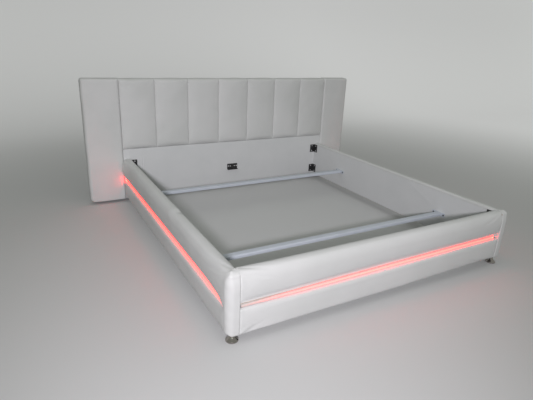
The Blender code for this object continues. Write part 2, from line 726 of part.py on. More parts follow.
# Side rails
def side_rail(word, side):
    head = HEAD_FACE_Y - GAP
    core_end = FOOT_FACE_Y - RAIL_THICKNESS + CORNER_FRONT_FOAM
    seam = FOOT_FACE_Y - RAIL_THICKNESS + CORNER_RETURN
    foot_x = side * (BAY_HALF + FOOT_SIDE_PLACE)
    foot_y = FOOT_FACE_Y - FOOT_FRONT_PLACE
    core = rail_box(
        word + "_rail_core", side, CORE_INNER, CORE_OUTER, CORE_BASE, CORE_TOP, head, core_end,
        CHIPBOARD, BED)
    cut(core, SCREW_HOLES)
    insert_hole = cylinder_cutter(
        word + "_insert_hole_cutter",
        [((foot_x, foot_y, RAIL_UNDERSIDE + CORE_BASE), (0.0, 0.0, -1.0))],
        insert_outer_radius() + GAP, FOOT_STUD_LENGTH + STUD_HOLE_EXTRA, FOOT_SIDES)
    cut(core, insert_hole)
    lining = rail_box(
        word + "_rail_lining", side, 0.0, CORE_INNER - GAP, CORE_BASE + LINING_HEM,
        FLAP_BASE - GAP, head, seam + GAP, LINING_CLOTH, BED)
    cut(lining, SCREW_HOLES)
    rail_pad(word + "_rail_upper_pad", side, upper_pad_corners())
    rail_pad(word + "_rail_lower_pad", side, lower_pad_corners())
    core_space = as_cutter(rail_box(
        word + "_core_space_cutter", side, CORE_INNER - GAP, CORE_OUTER + GAP, CORE_BASE - GAP,
        CORE_TOP + GAP, seam + OVERRUN, core_end - GAP, None, CUTTERS))
    pad = corner_pad(word + "_corner_pad", side, core_space)
    flange_hole = cylinder_cutter(
        word + "_flange_hole_cutter", [((foot_x, foot_y, RAIL_UNDERSIDE), (0.0, 0.0, -1.0))],
        INSERT_FLANGE_RADIUS + GAP, UNDER_WRAP + GAP, FOOT_SIDES)
    cut(pad, flange_hole)


def rail_light(word, side):
    """Aluminium channel with the light strip in it, along the groove of one rail."""
    head = HEAD_FACE_Y - HEAD_END_REACH / 2
    foot = FOOT_FACE_Y - RAIL_THICKNESS + CORNER_RETURN + GAP
    rings = []
    for along in (head, foot):
        rings.append([
            (side * (BAY_HALF + CORE_OUTER + GAP + outward), along, LIGHT_Z + height)
            for outward, height in profile_outline()])
    loft(word + "_rail_light_profile", rings, ALUMINIUM, BED)
    half = PROFILE_HEIGHT / 2 - PROFILE_WALL - GAP
    inner = CORE_OUTER + GAP + PROFILE_WALL + GAP
    outer = CORE_OUTER + GAP + PROFILE_DEPTH - STRIP_SETBACK
    rail_box(word + "_rail_light_strip", side, inner, outer, LIGHT_CENTRE - half,
             LIGHT_CENTRE + half, head, foot, LIGHT_STRIP, BED)


# Footboard
def footboard():
    half = BAY_HALF - GAP
    ends = (-half, half)
    core = foot_box(
        "footboard_core", CORE_INNER, CORE_OUTER, CORE_BASE, CORE_TOP, ends, CHIPBOARD)
    cut(core, SCREW_HOLES)
    lining = foot_box(
        "footboard_lining", 0.0, CORE_INNER - GAP, CORE_BASE + LINING_HEM, FLAP_BASE - GAP, ends,
        LINING_CLOTH)
    cut(lining, SCREW_HOLES)
    foot_pad("footboard_upper_pad", upper_pad_corners())
    foot_pad("footboard_lower_pad", lower_pad_corners())
    rings = []
    for across in ends:
        rings.append([
            (across, FOOT_FACE_Y - CORE_OUTER - GAP - outward, LIGHT_Z + height)
            for outward, height in profile_outline()])
    loft("footboard_light_profile", rings, ALUMINIUM, BED)
    strip_half = PROFILE_HEIGHT / 2 - PROFILE_WALL - GAP
    inner = CORE_OUTER + GAP + PROFILE_WALL + GAP
    outer = CORE_OUTER + GAP + PROFILE_DEPTH - STRIP_SETBACK
    strip_ends = (-half + FOOT_STRIP_LEFT_GAP, half - FOOT_STRIP_RIGHT_GAP)
    foot_box("footboard_light_strip", inner, outer, LIGHT_CENTRE - strip_half,
             LIGHT_CENTRE + strip_half, strip_ends, LIGHT_STRIP)


# Screws, each joined to the fitting that it holds
def screw_mesh():
    """Pan-head screw whose head is bedded halfway into its plate."""
    bed = -BRACKET_THICKNESS / 2
    return turned_mesh("screw", [
        (0.0, SCREW_HEAD_HEIGHT), (SCREW_CROWN_RADIUS, SCREW_HEAD_HEIGHT),
        (SCREW_HEAD_RADIUS, SCREW_HEAD_EDGE), (SCREW_HEAD_RADIUS, bed),
        (SCREW_SHANK_RADIUS, bed), (SCREW_SHANK_RADIUS, -SCREW_LENGTH), (0.0, -SCREW_LENGTH)],
        SCREW_SIDES)


def drive_screws(item, places):
    driven = place_copies(
        item.name + "_screws", SCREW, [facing(*place) for place in places], ZINC, CUTTERS)
    cut(item, as_cutter(driven), "UNION")


# Corner brackets and beam hangers
def corner_bracket(name, side, end_y, inward, base):
    inner = GAP + BRACKET_THICKNESS
    outline = [
        (GAP, GAP), (BRACKET_LEG, GAP), (BRACKET_LEG, inner), (inner + BRACKET_BEND, inner),
        (inner, inner + BRACKET_BEND), (inner, BRACKET_LEG), (GAP, BRACKET_LEG)]
    rings = []
    for height in (base, base + BRACKET_HEIGHT):
        rings.append([
            (side * (BAY_HALF - across), end_y + inward * along, RAIL_UNDERSIDE + height)
            for across, along in outline])
    item = loft(name, rings, BLACK_STEEL, BED)
    drive_screws(item, bracket_screws(side, end_y, inward, base))


def beam_hanger(name, end_y, inward):
    inner = GAP + BRACKET_THICKNESS
    outline = [
        (GAP, 0.0), (HANGER_LEDGE, 0.0), (HANGER_LEDGE, BRACKET_THICKNESS),
        (inner, BRACKET_THICKNESS), (inner, HANGER_HEIGHT), (GAP, HANGER_HEIGHT)]
    rings = []
    for across in (-HANGER_WIDTH / 2, HANGER_WIDTH / 2):
        rings.append([
            (across, end_y + inward * along, RAIL_UNDERSIDE + HANGER_BASE + height)
            for along, height in outline])
    item = loft(name, rings, BLACK_STEEL, BED)
    drive_screws(item, hanger_screws(end_y, inward))


# Crossbars
def crossbar(name, place):
    top = RAIL_UNDERSIDE + CROSSBAR_TOP
    middle = HEAD_FACE_Y - place
    front = middle - CROSSBAR_FORWARD
    outline = [
        (front, top - CROSSBAR_DROP), (front, top), (front + CROSSBAR_FLANGE, top),
        (front + CROSSBAR_FLANGE, top - CROSSBAR_WALL),
        (front + CROSSBAR_WALL, top - CROSSBAR_WALL), (front + CROSSBAR_WALL, top - CROSSBAR_DROP)]
    plate_outer = BAY_HALF - GAP
    plate_inner = plate_outer - CROSSBAR_WALL
    weld = (plate_outer + plate_inner) / 2
    rings = [[(across, along, height) for along, height in outline] for across in (-weld, weld)]
    item = loft(name, rings, WHITE_STEEL, BED)
    for word, side in SIDES.items():
        low_x, high_x = sorted((side * plate_inner, side * plate_outer))
        plate = as_cutter(box(
            "%s_%s_plate" % (name, word),
            (low_x, middle - END_PLATE_LENGTH / 2, top - END_PLATE_HEIGHT),
            (high_x, middle + END_PLATE_LENGTH / 2, top + GAP), None, CUTTERS))
        cut(item, plate, "UNION")
    drive_screws(item, crossbar_screws(place, SIDES["left"]) + crossbar_screws(place, SIDES["right"]))


# Feet
def insert_outer_radius():
    return FOOT_STUD_RADIUS + GAP + INSERT_WALL


def levelling_feet():
    top = RAIL_UNDERSIDE - GAP
    bore = FOOT_STUD_RADIUS + GAP
    profile = [
        (0.0, top + FOOT_STUD_LENGTH), (FOOT_STUD_RADIUS, top + FOOT_STUD_LENGTH),
        (FOOT_STUD_RADIUS, top), (FOOT_FLANGE_RADIUS, top),
        (FOOT_FLANGE_RADIUS, top - FOOT_FLANGE_THICKNESS), (FOOT_NECK_RADIUS, FOOT_NECK_HEIGHT),
        ((FOOT_NECK_RADIUS + FOOT_SHOULDER_RADIUS) / 2,
         (FOOT_NECK_HEIGHT + FOOT_SHOULDER_HEIGHT) / 2 - FOOT_FLANGE_THICKNESS / 2),
        (FOOT_SHOULDER_RADIUS, FOOT_SHOULDER_HEIGHT),
        (FOOT_BASE_RADIUS, FOOT_BASE_EDGE), (FOOT_BASE_RADIUS, 0.0), (0.0, 0.0)]
    foot_mesh = turned_mesh("foot", profile, FOOT_SIDES)
    flange_base = RAIL_UNDERSIDE + GAP
    sleeve_top = RAIL_UNDERSIDE + UNDER_WRAP + INSERT_LENGTH
    insert_profile = [
        (bore, sleeve_top), (insert_outer_radius(), sleeve_top),
        (insert_outer_radius(), flange_base + INSERT_FLANGE_THICKNESS),
        (INSERT_FLANGE_RADIUS, flange_base + INSERT_FLANGE_THICKNESS),
        (INSERT_FLANGE_RADIUS, flange_base), (bore, flange_base)]
    insert_mesh = turned_mesh("insert", insert_profile, FOOT_SIDES, closed=True)
    for word, side in SIDES.items():
        place = Matrix.Translation(
            (side * (BAY_HALF + FOOT_SIDE_PLACE), FOOT_FACE_Y - FOOT_FRONT_PLACE, 0.0))
        place_copies(word + "_foot", foot_mesh, [place], CHROME, BED)
        place_copies(word + "_foot_insert", insert_mesh, [place], ZINC, BED)


# Light controller and its lead
def controller():
    y_middle = lead_depth()
    item = box(
        "light_controller",
        (-CONTROLLER_LENGTH / 2, y_middle - CONTROLLER_DEPTH / 2, LIGHT_Z - CONTROLLER_HEIGHT / 2),
        (CONTROLLER_LENGTH / 2, y_middle + CONTROLLER_DEPTH / 2, LIGHT_Z + CONTROLLER_HEIGHT / 2),
        BLACK_PLASTIC, BED)
    back = SEAM_Y + HEAD_DEPTH
    inlet = cylinder_cutter(
        "inlet_barrel", [((0.0, back - OVERRUN, LIGHT_Z), (0.0, 1.0, 0.0))],
        INLET_RADIUS, back - y_middle, INLET_SIDES)
    cut(item, inlet, "UNION")


def lead():
    """Lead from the left light strip through the face board and a stile to the controller."""
    outside = BAY_HALF + STRIP_OUT
    strip_end = HEAD_FACE_Y - HEAD_END_REACH / 2
    depth = lead_depth()
    inside = CONTROLLER_LENGTH / 2 + GAP
    run_start = STILE_X - FRAME_WIDTH / 2
    points = [(outside, strip_end + GAP, LIGHT_Z), (outside, depth - LEAD_BEND, LIGHT_Z)]
    for share in LEAD_BEND_SHARES:
        angle = share * math.pi / 2
        points.append((
            outside - LEAD_BEND * (1.0 - math.cos(angle)),
            depth - LEAD_BEND * (1.0 - math.sin(angle)), LIGHT_Z))
    points.append((outside - LEAD_BEND, depth, LIGHT_Z))
    for step in range(LEAD_POINTS + 1):
        share = step / LEAD_POINTS
        across = run_start + (inside - run_start) * share
        points.append((across, depth, LIGHT_Z - LEAD_SAG * math.sin(math.pi * share) ** 2))
    data = bpy.data.curves.new("light_lead", "CURVE")
    data.dimensions = "3D"
    data.bevel_depth = LEAD_RADIUS
    data.bevel_resolution = 2
    data.use_fill_caps = True
    spline = data.splines.new("POLY")
    spline.points.add(len(points) - 1)
    for target, (across, along, height) in zip(spline.points, points):
        target.co = (LEAD_SIDE * across, along, height, 1.0)
    item = bpy.data.objects.new("light_lead", data)
    data.materials.append(BLACK_PLASTIC)
    BED.objects.link(item)


SCREW = screw_mesh()
headboard_core()
headboard_padding()
headboard_glides()
for side_word, side_sign in SIDES.items():
    side_rail(side_word, side_sign)
    rail_light(side_word, side_sign)
footboard()
for end_word, (face_y, into_bay) in ENDS.items():
    for side_word, side_sign in SIDES.items():
        for level_word, level_base in LEVELS.items():
            corner_bracket(
                "bracket_%s_%s_%s" % (end_word, side_word, level_word),
                side_sign, face_y, into_bay, level_base)
    beam_hanger("beam_hanger_" + end_word, face_y, into_bay)
    crossbar("crossbar_" + end_word, CROSSBARS[end_word])
levelling_feet()
controller()
lead()
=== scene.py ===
"""A wide bed frame in white faux leather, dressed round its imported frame, in metres.

The floor is z = 0, +X runs across the bed and +Y runs to the headboard.
"""
import math

import bmesh
import bpy
import numpy as np
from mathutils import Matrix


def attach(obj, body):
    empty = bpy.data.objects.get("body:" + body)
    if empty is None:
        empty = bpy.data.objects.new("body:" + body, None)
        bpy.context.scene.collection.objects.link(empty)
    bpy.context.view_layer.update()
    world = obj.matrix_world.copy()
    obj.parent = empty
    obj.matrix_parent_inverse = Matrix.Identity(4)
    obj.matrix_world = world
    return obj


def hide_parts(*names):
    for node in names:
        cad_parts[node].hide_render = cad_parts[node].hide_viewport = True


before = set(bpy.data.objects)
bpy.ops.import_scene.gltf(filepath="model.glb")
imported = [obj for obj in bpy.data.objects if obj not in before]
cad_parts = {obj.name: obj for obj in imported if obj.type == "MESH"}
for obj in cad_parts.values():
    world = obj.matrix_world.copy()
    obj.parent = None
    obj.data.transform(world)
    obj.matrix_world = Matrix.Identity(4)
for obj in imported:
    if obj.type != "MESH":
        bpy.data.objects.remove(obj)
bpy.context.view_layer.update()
scene = bpy.context.scene


# The camera stands off the left foot corner, at the height of a person's chest, and looks
# down across the bed. Its place, turns and focal length come from the bed's own corners.
CAMERA_PLACE = (-1.6626, -2.5802, 1.3120)
CAMERA_YAW = 0.5184
CAMERA_PITCH = 0.3469
CAMERA_ROLL = 0.0448
FOCAL_PIXELS = 441.188
FRAME_PIXELS = 533
SENSOR_WIDTH = 36.0


def camera_matrix(place, yaw, pitch, roll):
    """Ahead is (sin yaw cos pitch, cos yaw cos pitch, -sin pitch), level right is
    (cos yaw, -sin yaw, 0), and roll turns right and up about ahead."""
    ahead = np.array([
        math.sin(yaw) * math.cos(pitch), math.cos(yaw) * math.cos(pitch), -math.sin(pitch)])
    level = np.array([math.cos(yaw), -math.sin(yaw), 0.0])
    upright = np.cross(level, ahead)
    right = math.cos(roll) * level + math.sin(roll) * upright
    up = math.cos(roll) * upright - math.sin(roll) * level
    matrix = np.eye(4)
    matrix[:3] = np.stack([right, up, -ahead, place], axis=1)
    return matrix


def put(target, **values):
    """Sets named values of a Blender object and gives it back."""
    for name, value in values.items():
        setattr(target, name, value)
    return target


def link(name, data):
    """A new object for some data, in the scene."""
    made = bpy.data.objects.new(name, data)
    scene.collection.objects.link(made)
    return made


camera = link("studio_camera", put(
    bpy.data.cameras.new("studio_camera"), sensor_fit="HORIZONTAL", sensor_width=SENSOR_WIDTH,
    lens=FOCAL_PIXELS / FRAME_PIXELS * SENSOR_WIDTH))
camera.matrix_world = camera_matrix(
    CAMERA_PLACE, CAMERA_YAW, CAMERA_PITCH, CAMERA_ROLL).T.tolist()
scene.camera = camera
bpy.context.view_layer.update()


# The headboard is carried by a chipboard face screwed to a frame of pine battens. Both are
# sawn square and left raw, and only the lining and the rims of the covers hide them.
def new_material(name, colour, roughness, **sockets):
    """A material whose plain numbers stand on its Principled shader's own sockets."""
    material = bpy.data.materials.new(name)
    material.use_nodes = True
    shader = material.node_tree.nodes["Principled BSDF"]
    shader.inputs["Base Color"].default_value = (*colour, 1)
    shader.inputs["Roughness"].default_value = roughness
    for socket, value in sockets.items():
        shader.inputs[socket.replace("_", " ")].default_value = value
    return material


def add_node(material, kind, sockets, **settings):
    """Adds a shader node. A value that is a socket is joined, and any other is set."""
    made = put(material.node_tree.nodes.new(kind), **settings)
    for socket, value in sockets.items():
        if isinstance(value, bpy.types.NodeSocket):
            material.node_tree.links.new(value, made.inputs[socket])
        else:
            made.inputs[socket].default_value = value
    return made


def object_place(material, stretch=(1, 1, 1)):
    """The point on the piece in metres, with each axis stretched."""
    place = add_node(material, "ShaderNodeTexCoord", {}).outputs["Object"]
    return add_node(
        material, "ShaderNodeMapping", {"Vector": place, "Scale": stretch}).outputs["Vector"]


def noise(material, place, scale, detail=2, roughness=0.5):
    """Soft noise of about scale patches to the metre."""
    return add_node(material, "ShaderNodeTexNoise", {
        "Vector": place, "Scale": scale, "Detail": detail, "Roughness": roughness}).outputs["Fac"]


def ramp(material, factor, stops):
    """Colours or grey levels along a factor, as (place, colour) pairs."""
    made = add_node(material, "ShaderNodeValToRGB", {"Fac": factor})
    elements = made.color_ramp.elements
    while len(elements) < len(stops):
        elements.new(0.5)
    for element, (place, colour) in zip(elements, stops):
        element.position = place
        element.color = (*colour, 1) if isinstance(colour, tuple) else (colour,) * 3 + (1,)
    return made.outputs["Color"]


def paint(material, socket, source):
    """Joins a pattern to a socket of the Principled shader."""
    shader = material.node_tree.nodes["Principled BSDF"]
    material.node_tree.links.new(source, shader.inputs[socket])


def mottle(material, socket, place, scale, stops, detail=2, roughness=0.5):
    """Paints a socket with colours or levels along soft noise."""
    tone = noise(material, place, scale, detail, roughness)
    paint(material, socket, ramp(material, tone, stops))


def emboss(material, *layers):
    """Bump layers of (height, strength, depth in metres), each laid on the one before."""
    normal = None
    for height, strength, depth in layers:
        sockets = {"Height": height, "Strength": strength, "Distance": depth}
        if normal:
            sockets["Normal"] = normal
        normal = add_node(material, "ShaderNodeBump", sockets).outputs["Normal"]
    paint(material, "Normal", normal)


def finish_nodes(material, *names):
    """Puts the material on CAD nodes that stay as they are."""
    for name in names:
        for material_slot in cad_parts[name].material_slots:
            material_slot.material = material


chipboard = new_material("raw_chipboard", (0.50, 0.36, 0.22), 0.85)
flake_place = object_place(chipboard)
flakes = add_node(chipboard, "ShaderNodeTexVoronoi", {
    "Vector": flake_place, "Scale": 260.0, "Randomness": 1.0})
mottle(chipboard, "Base Color", flake_place, 340.0, [
    (0.30, (0.33, 0.21, 0.11)), (0.52, (0.50, 0.36, 0.21)), (0.72, (0.66, 0.51, 0.33))], 3)
emboss(chipboard, (flakes.outputs["Distance"], 0.4, 0.0006))

pine = new_material("sawn_pine", (0.66, 0.46, 0.26), 0.7)
ring_place = object_place(pine, (3.0, 26.0, 3.0))
rings = add_node(pine, "ShaderNodeTexWave", {
    "Vector": ring_place, "Scale": 1.4, "Distortion": 5.0, "Detail": 3.0},
    wave_type="RINGS")
paint(pine, "Base Color", ramp(pine, rings.outputs["Fac"], [
    (0.0, (0.70, 0.50, 0.29)), (0.75, (0.64, 0.43, 0.23)), (1.0, (0.48, 0.29, 0.14))]))
emboss(pine, (noise(pine, object_place(pine, (40.0, 400.0, 400.0)), 4.0), 0.3, 0.0004))

finish_nodes(
    chipboard, "headboard_face_board", "left_rail_core", "right_rail_core", "footboard_core")
STILES = [f"headboard_stile_{place}" for place in range(1, 5)]
finish_nodes(pine, "headboard_frame_top", "headboard_frame_bottom", *STILES)


# Each channel of the headboard is a run of foam under the one leather cover, which is sewn
# down along its two sides and its foot and pulled over the top to be stapled at the back.
CHANNELS = 7
CHANNEL_PITCH = 0.2763
CHANNEL_HALF = 0.1380
CHANNEL_FOOT = 0.4380
CHANNEL_TOP = 0.9880
CHANNEL_CROWN = 0.0220
CHANNEL_RISE = 0.0050
CHANNEL_RISE_FADE = 0.030
CHANNEL_FOOT_RADIUS = 0.006
CHANNEL_FOOT_FADE = 0.055
SEAM_PLANE = 1.0030
BOARD_FACE = 1.0115
BOARD_TOP = 0.9833
BACK_PLANE = 1.0713
TOP_FRONT_RADIUS = 0.022
BACK_EDGE_RADIUS = 0.004
COVER_STEP = 0.0085
TAKE_IN = 0.0030
TAKE_IN_REACH = 0.020
BOARD_HOLD = 0.006
SWELL_LIMIT = 0.0048
SWELL_SHARE = 0.5
SWELL_FRAMES = 20
STITCH_GAP = 0.006
FREE = 9.0


def rounded(corners, step):
    """A path of straight runs joined by arcs, from corners of (across, up, radius). An arc is
    the quadratic ((1-t)^2 a + 2 t (1-t) w p + t^2 b) over its weights, with w the cosine of
    half the turn at p, and a straight run has a point about every step."""
    corners = np.array(corners, float)
    places = corners[:, :2]
    runs = np.diff(places, axis=0)
    heads = runs / np.linalg.norm(runs, axis=1, keepdims=True)
    pieces = [places[:1]]
    for before, after, (across, up, radius) in zip(heads, heads[1:], corners[1:-1]):
        corner = np.array([across, up])
        half = math.acos(np.clip(before @ after, -1, 1)) / 2
        reach = radius * math.tan(half)
        t = np.linspace(0, 1, 3 + int(2 * half * radius / step))[:, None]
        weights = np.concatenate([(1 - t) ** 2, 2 * t * (1 - t) * math.cos(half), t ** 2], axis=1)
        ends = np.stack([corner - reach * before, corner, corner + reach * after])
        pieces.append(weights @ ends / weights.sum(axis=1, keepdims=True))
    path = np.concatenate(pieces + [places[-1:]])
    lengths = np.linalg.norm(np.diff(path, axis=0), axis=1)
    path = path[np.concatenate([[True], lengths > 1e-7])]
    lengths = lengths[lengths > 1e-7]
    walked = np.concatenate([[0], np.cumsum(lengths)])
    stops = np.concatenate([
        start + np.arange(count) * length / count
        for start, length, count in zip(walked, lengths, np.ceil(lengths / step).astype(int))]
        + [walked[-1:]])
    return np.stack([np.interp(stops, walked, path[:, side]) for side in (0, 1)], axis=1)


def points_of(x, y, z):
    """Points from three arrays or numbers."""
    return np.stack(np.broadcast_arrays(x, y, z), axis=-1)


def grown(value, full):
    """How far a value has grown on its way from zero to full, from 0 to 1."""
    return np.clip(value / full, 0, 1)


def spread(low, high, step, crowding):
    """Values from low to high about step apart, closer at both ends: a mix of an even row
    and of the sine of it."""
    even = np.linspace(-1, 1, max(3, int(round((high - low) / step)) + 1))
    mixed = (1 - crowding) * even + crowding * np.sin(math.pi / 2 * even)
    return (low + high) / 2 + (high - low) / 2 * mixed


def outward(grid, box):
    """Unit normals of a grid, the cross product of its two central differences, turned so
    that most of them point away from the box of the board behind."""
    normal = np.cross(np.gradient(grid, axis=1), np.gradient(grid, axis=0))
    normal /= np.maximum(np.linalg.norm(normal, axis=-1, keepdims=True), 1e-9)
    away = grid - np.clip(grid, *box)
    return normal if (normal * away).sum() > 0 else -normal


def from_edges(grid):
    """Each point's distance along the grid from the nearest of its four edges."""
    gaps = []
    for axis in (0, 1):
        steps = np.linalg.norm(np.diff(grid, axis=axis), axis=-1)
        walked = np.insert(np.cumsum(steps, axis=axis), 0, 0, axis=axis)
        gaps.append(np.minimum(walked, np.take(walked, [-1], axis=axis) - walked))
    return np.minimum(*gaps)


def quads(rows, columns):
    """The faces of a grid of points."""
    index = np.arange(rows * columns).reshape(rows, columns)
    corners = (index[:-1, :-1], index[:-1, 1:], index[1:, 1:], index[1:, :-1])
    return np.stack(corners, axis=-1).reshape(-1, 4)


def swell(grids, box):
    """Blows cover cloths up from a shape taken in by up to TAKE_IN, held along their edges
    and where they lie on the board, for 20 frames of Cloth. No point moves more than
    SWELL_LIMIT, and the foam under it keeps it to a share of the way from its cut shape."""
    cloths = []
    for grid in grids:
        normal = outward(grid, box)
        off_board = np.linalg.norm(grid - np.clip(grid, *box), axis=-1)
        gap = np.minimum(from_edges(grid), np.clip(off_board - BOARD_HOLD, 0, 1) * 4)
        start = grid - normal * (TAKE_IN * grown(gap, TAKE_IN_REACH))[..., None]
        faces = quads(*grid.shape[:2])
        first = start.reshape(-1, 3)[faces[:, :3]]
        facing = np.cross(first[:, 1] - first[:, 0], first[:, 2] - first[:, 0])
        if (facing * normal.reshape(-1, 3)[faces[:, 0]]).sum() < 0:
            faces = faces[:, ::-1]
        mesh = bpy.data.meshes.new("cover_cloth")
        mesh.from_pydata(start.reshape(-1, 3).tolist(), [], faces.tolist())
        cloth = link("cover_cloth", mesh)
        held = np.nonzero(gap.ravel() < 1e-6)[0]
        cloth.vertex_groups.new(name="held").add(held.tolist(), 1.0, "REPLACE")
        modifier = cloth.modifiers.new("Cloth", "CLOTH")
        put(modifier.settings, quality=5, mass=0.3, tension_stiffness=15,
            compression_stiffness=15, shear_stiffness=7.5, bending_stiffness=0.5,
            use_pressure=True, uniform_pressure_force=4.0, vertex_group_mass="held")
        modifier.settings.effector_weights.gravity = 0
        modifier.collision_settings.use_collision = False
        put(modifier.point_cache, frame_start=1, frame_end=SWELL_FRAMES)
        cloths.append((cloth, start))
    for moment in range(1, SWELL_FRAMES + 1):
        scene.frame_set(moment)
    view_layer = bpy.context.evaluated_depsgraph_get()
    swollen = []
    for grid, (cloth, start) in zip(grids, cloths):
        flat = np.zeros(start.size)
        cloth.evaluated_get(view_layer).data.vertices.foreach_get("co", flat)
        move = flat.reshape(start.shape) - start
        length = np.maximum(np.linalg.norm(move, axis=-1, keepdims=True), 1e-9)
        blown = start + move * np.minimum(1, SWELL_LIMIT / length)
        swollen.append(grid + SWELL_SHARE * (blown - grid))
    scene.frame_set(1)
    for cloth, _ in cloths:
        bpy.data.meshes.remove(cloth.data)
    return swollen


def refine(grid):
    """Puts a point between every two of a grid, both ways, on the cubic through two points on
    each side, (9 (b + c) - a - d) / 16, with the ends carried on straight."""
    for _ in range(2):
        wide = np.concatenate([2 * grid[:1] - grid[1:2], grid, 2 * grid[-1:] - grid[-2:-1]])
        fine = np.empty((2 * len(grid) - 1,) + grid.shape[1:])
        fine[::2] = grid
        fine[1::2] = (9 * (wide[1:-2] + wide[2:-1]) - wide[:-3] - wide[3:]) / 16
        grid = fine.swapaxes(0, 1)
    return grid


def waves(points, seed, length):
    """A soft random field round zero: twelve sines added, each of a seeded direction and
    start, with wavelengths round length, over the root of their number."""
    draw = np.random.default_rng(seed)
    turns = draw.normal(size=(12, 3))
    turns *= 2 * math.pi / length * draw.uniform(0.6, 1.5, (12, 1)) / np.linalg.norm(
        turns, axis=1, keepdims=True)
    return np.sin(points @ turns.T + draw.uniform(0, 2 * math.pi, 12)).sum(axis=-1) / 12 ** 0.5


def fold(points, start, end, width):
    """A ridge along a line from start to end: exp(-(d / width)^2), with d the distance from
    the line, which also runs out at its two ends."""
    run = np.array(end) - start
    along = grown((points - start) @ run, run @ run)
    gap = np.linalg.norm(points - start - along[..., None] * run, axis=-1)
    return np.exp(-(gap / width) ** 2) * np.sin(math.pi * np.clip(along, 0.02, 0.98)) ** 0.5


def close_skin(name, outer, inner, material):
    """A closed mesh of an outer grid, an inner grid and a strip round their edges. Points that
    fall together are merged, and the faces are turned outwards by the signed volume."""
    rows, columns = outer.shape[:2]
    count = rows * columns
    index = np.arange(count).reshape(rows, columns)
    rim = np.concatenate([index[0], index[1:, -1], index[-1, -2::-1], index[-2:0:-1, 0]])
    following = np.roll(rim, -1)
    faces = np.concatenate([
        quads(rows, columns), quads(rows, columns)[:, ::-1] + count,
        np.stack([following, rim, rim + count, following + count], axis=1)])
    points = np.concatenate([outer.reshape(-1, 3), inner.reshape(-1, 3)])
    return build(name, points, faces.tolist(), material, 50)


def build(name, points, faces, material, sharp=35):
    """A piece from points and faces. Doubles are merged, faces turned outwards, and edges
    shaded smooth up to an angle."""
    mesh = bpy.data.meshes.new(name)
    mesh.from_pydata(np.asarray(points).tolist(), [], faces)
    solid = bmesh.new()
    solid.from_mesh(mesh)
    bmesh.ops.remove_doubles(solid, verts=solid.verts, dist=2e-6)
    bmesh.ops.dissolve_degenerate(solid, edges=solid.edges, dist=1e-6)
    if solid.calc_volume(signed=True) < 0:
        bmesh.ops.reverse_faces(solid, faces=solid.faces)
    solid.to_mesh(mesh)
    solid.free()
    mesh.polygons.foreach_set("use_smooth", np.ones(len(mesh.polygons), bool))
    mesh.set_sharp_from_angle(angle=math.radians(sharp))
    mesh.materials.append(material)
    return link(name, mesh)


def enrol(piece, slot, *nodes, body="bed_frame"):
    """Puts a piece on the body it rides on and hides the nodes it stands for. Its slot is not used.
    """
    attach(piece, body)
    if nodes:
        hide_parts(*nodes)


def pad(name, cover, lift, box, material, slot, node):
    """A pad: its cover, raised by lift, and an inner face that is the same cover pressed on
    the board's box."""
    outer = cover + outward(cover, box) * lift[..., None]
    piece = close_skin(name, outer, np.clip(outer, *box), material)
    enrol(piece, slot, node)


def stretched(name, outer, inner, material, slot, flat, boards, *nodes):
    """A sheet closed between an outer and an inner face, standing for some nodes. Its flat size and
    boards are not used.
    """
    sheet = close_skin(name, outer, inner, material)
    enrol(sheet, slot, *nodes)


leather = new_material("white_faux_leather", (0.64, 0.64, 0.63), 0.44)
skin_place = object_place(leather)
mottle(leather, "Base Color", skin_place, 3.2, [
    (0.30, (0.610, 0.616, 0.606)), (0.55, (0.640, 0.643, 0.636)),
    (0.75, (0.662, 0.660, 0.654))], 3, 0.6)
pebbles = add_node(leather, "ShaderNodeTexVoronoi", {
    "Vector": skin_place, "Scale": 620.0, "Smoothness": 0.6}, feature="SMOOTH_F1")
wrinkles = noise(leather, skin_place, 210.0, 3, 0.6)
mottle(leather, "Roughness", skin_place, 45.0, [(0.3, 0.50), (0.7, 0.60)], 3)
emboss(leather, (wrinkles, 0.25, 0.0006), (pebbles.outputs["Distance"], 0.35, 0.0005))

channel_path = rounded([
    (BOARD_FACE, CHANNEL_FOOT, 0), (SEAM_PLANE, CHANNEL_FOOT, CHANNEL_FOOT_RADIUS),
    (SEAM_PLANE, CHANNEL_TOP, TOP_FRONT_RADIUS), (BACK_PLANE, CHANNEL_TOP, BACK_EDGE_RADIUS),
    (BACK_PLANE, BOARD_TOP + 0.0005, 0)], COVER_STEP)
channel_box = ((-FREE, BOARD_FACE, -FREE), (FREE, FREE, BOARD_TOP))


def seam_drift(seam, height):
    """How far a sewn seam wanders to the side up its height: two slow sines, under 2 mm."""
    return 0.0009 * np.sin(21 * height + 2.3 * seam) + 0.0005 * np.sin(57 * height + 4.1 * seam)


def channel_grid(number):
    """The cover of one channel. Its crown is 1 - 0.58 s^2 - 0.14 s^6 - 0.28 s^40 across, with s
    from -1 to 1 between the seams. It runs out at the foot and is a low rise over the top."""
    side = spread(-1, 1, COVER_STEP / CHANNEL_HALF, 0.75)[:, None]
    crown = 1 - 0.58 * side ** 2 - 0.14 * side ** 6 - 0.28 * side ** 40
    back, height = channel_path.T
    along = np.gradient(channel_path, axis=0)
    along /= np.linalg.norm(along, axis=1, keepdims=True)
    facing_front = np.clip(along[:, 1], 0, 1)
    facing_up = np.clip(along[:, 0], 0, 1) * (height > CHANNEL_TOP - TOP_FRONT_RADIUS)
    foot = 1 - (1 - grown(height - CHANNEL_FOOT, CHANNEL_FOOT_FADE)) ** 3
    over = grown(BACK_PLANE - back, CHANNEL_RISE_FADE)
    middle = (number - (CHANNELS - 1) / 2) * CHANNEL_PITCH
    drift = [seam_drift(number + end, height) * (0 < number + end < CHANNELS) for end in (0, 1)]
    return points_of(
        middle + CHANNEL_HALF * side + (drift[0] * (1 - side) / 2 + drift[1] * (1 + side) / 2),
        back - CHANNEL_CROWN * crown * facing_front * foot,
        height + CHANNEL_RISE * crown * facing_up * over)


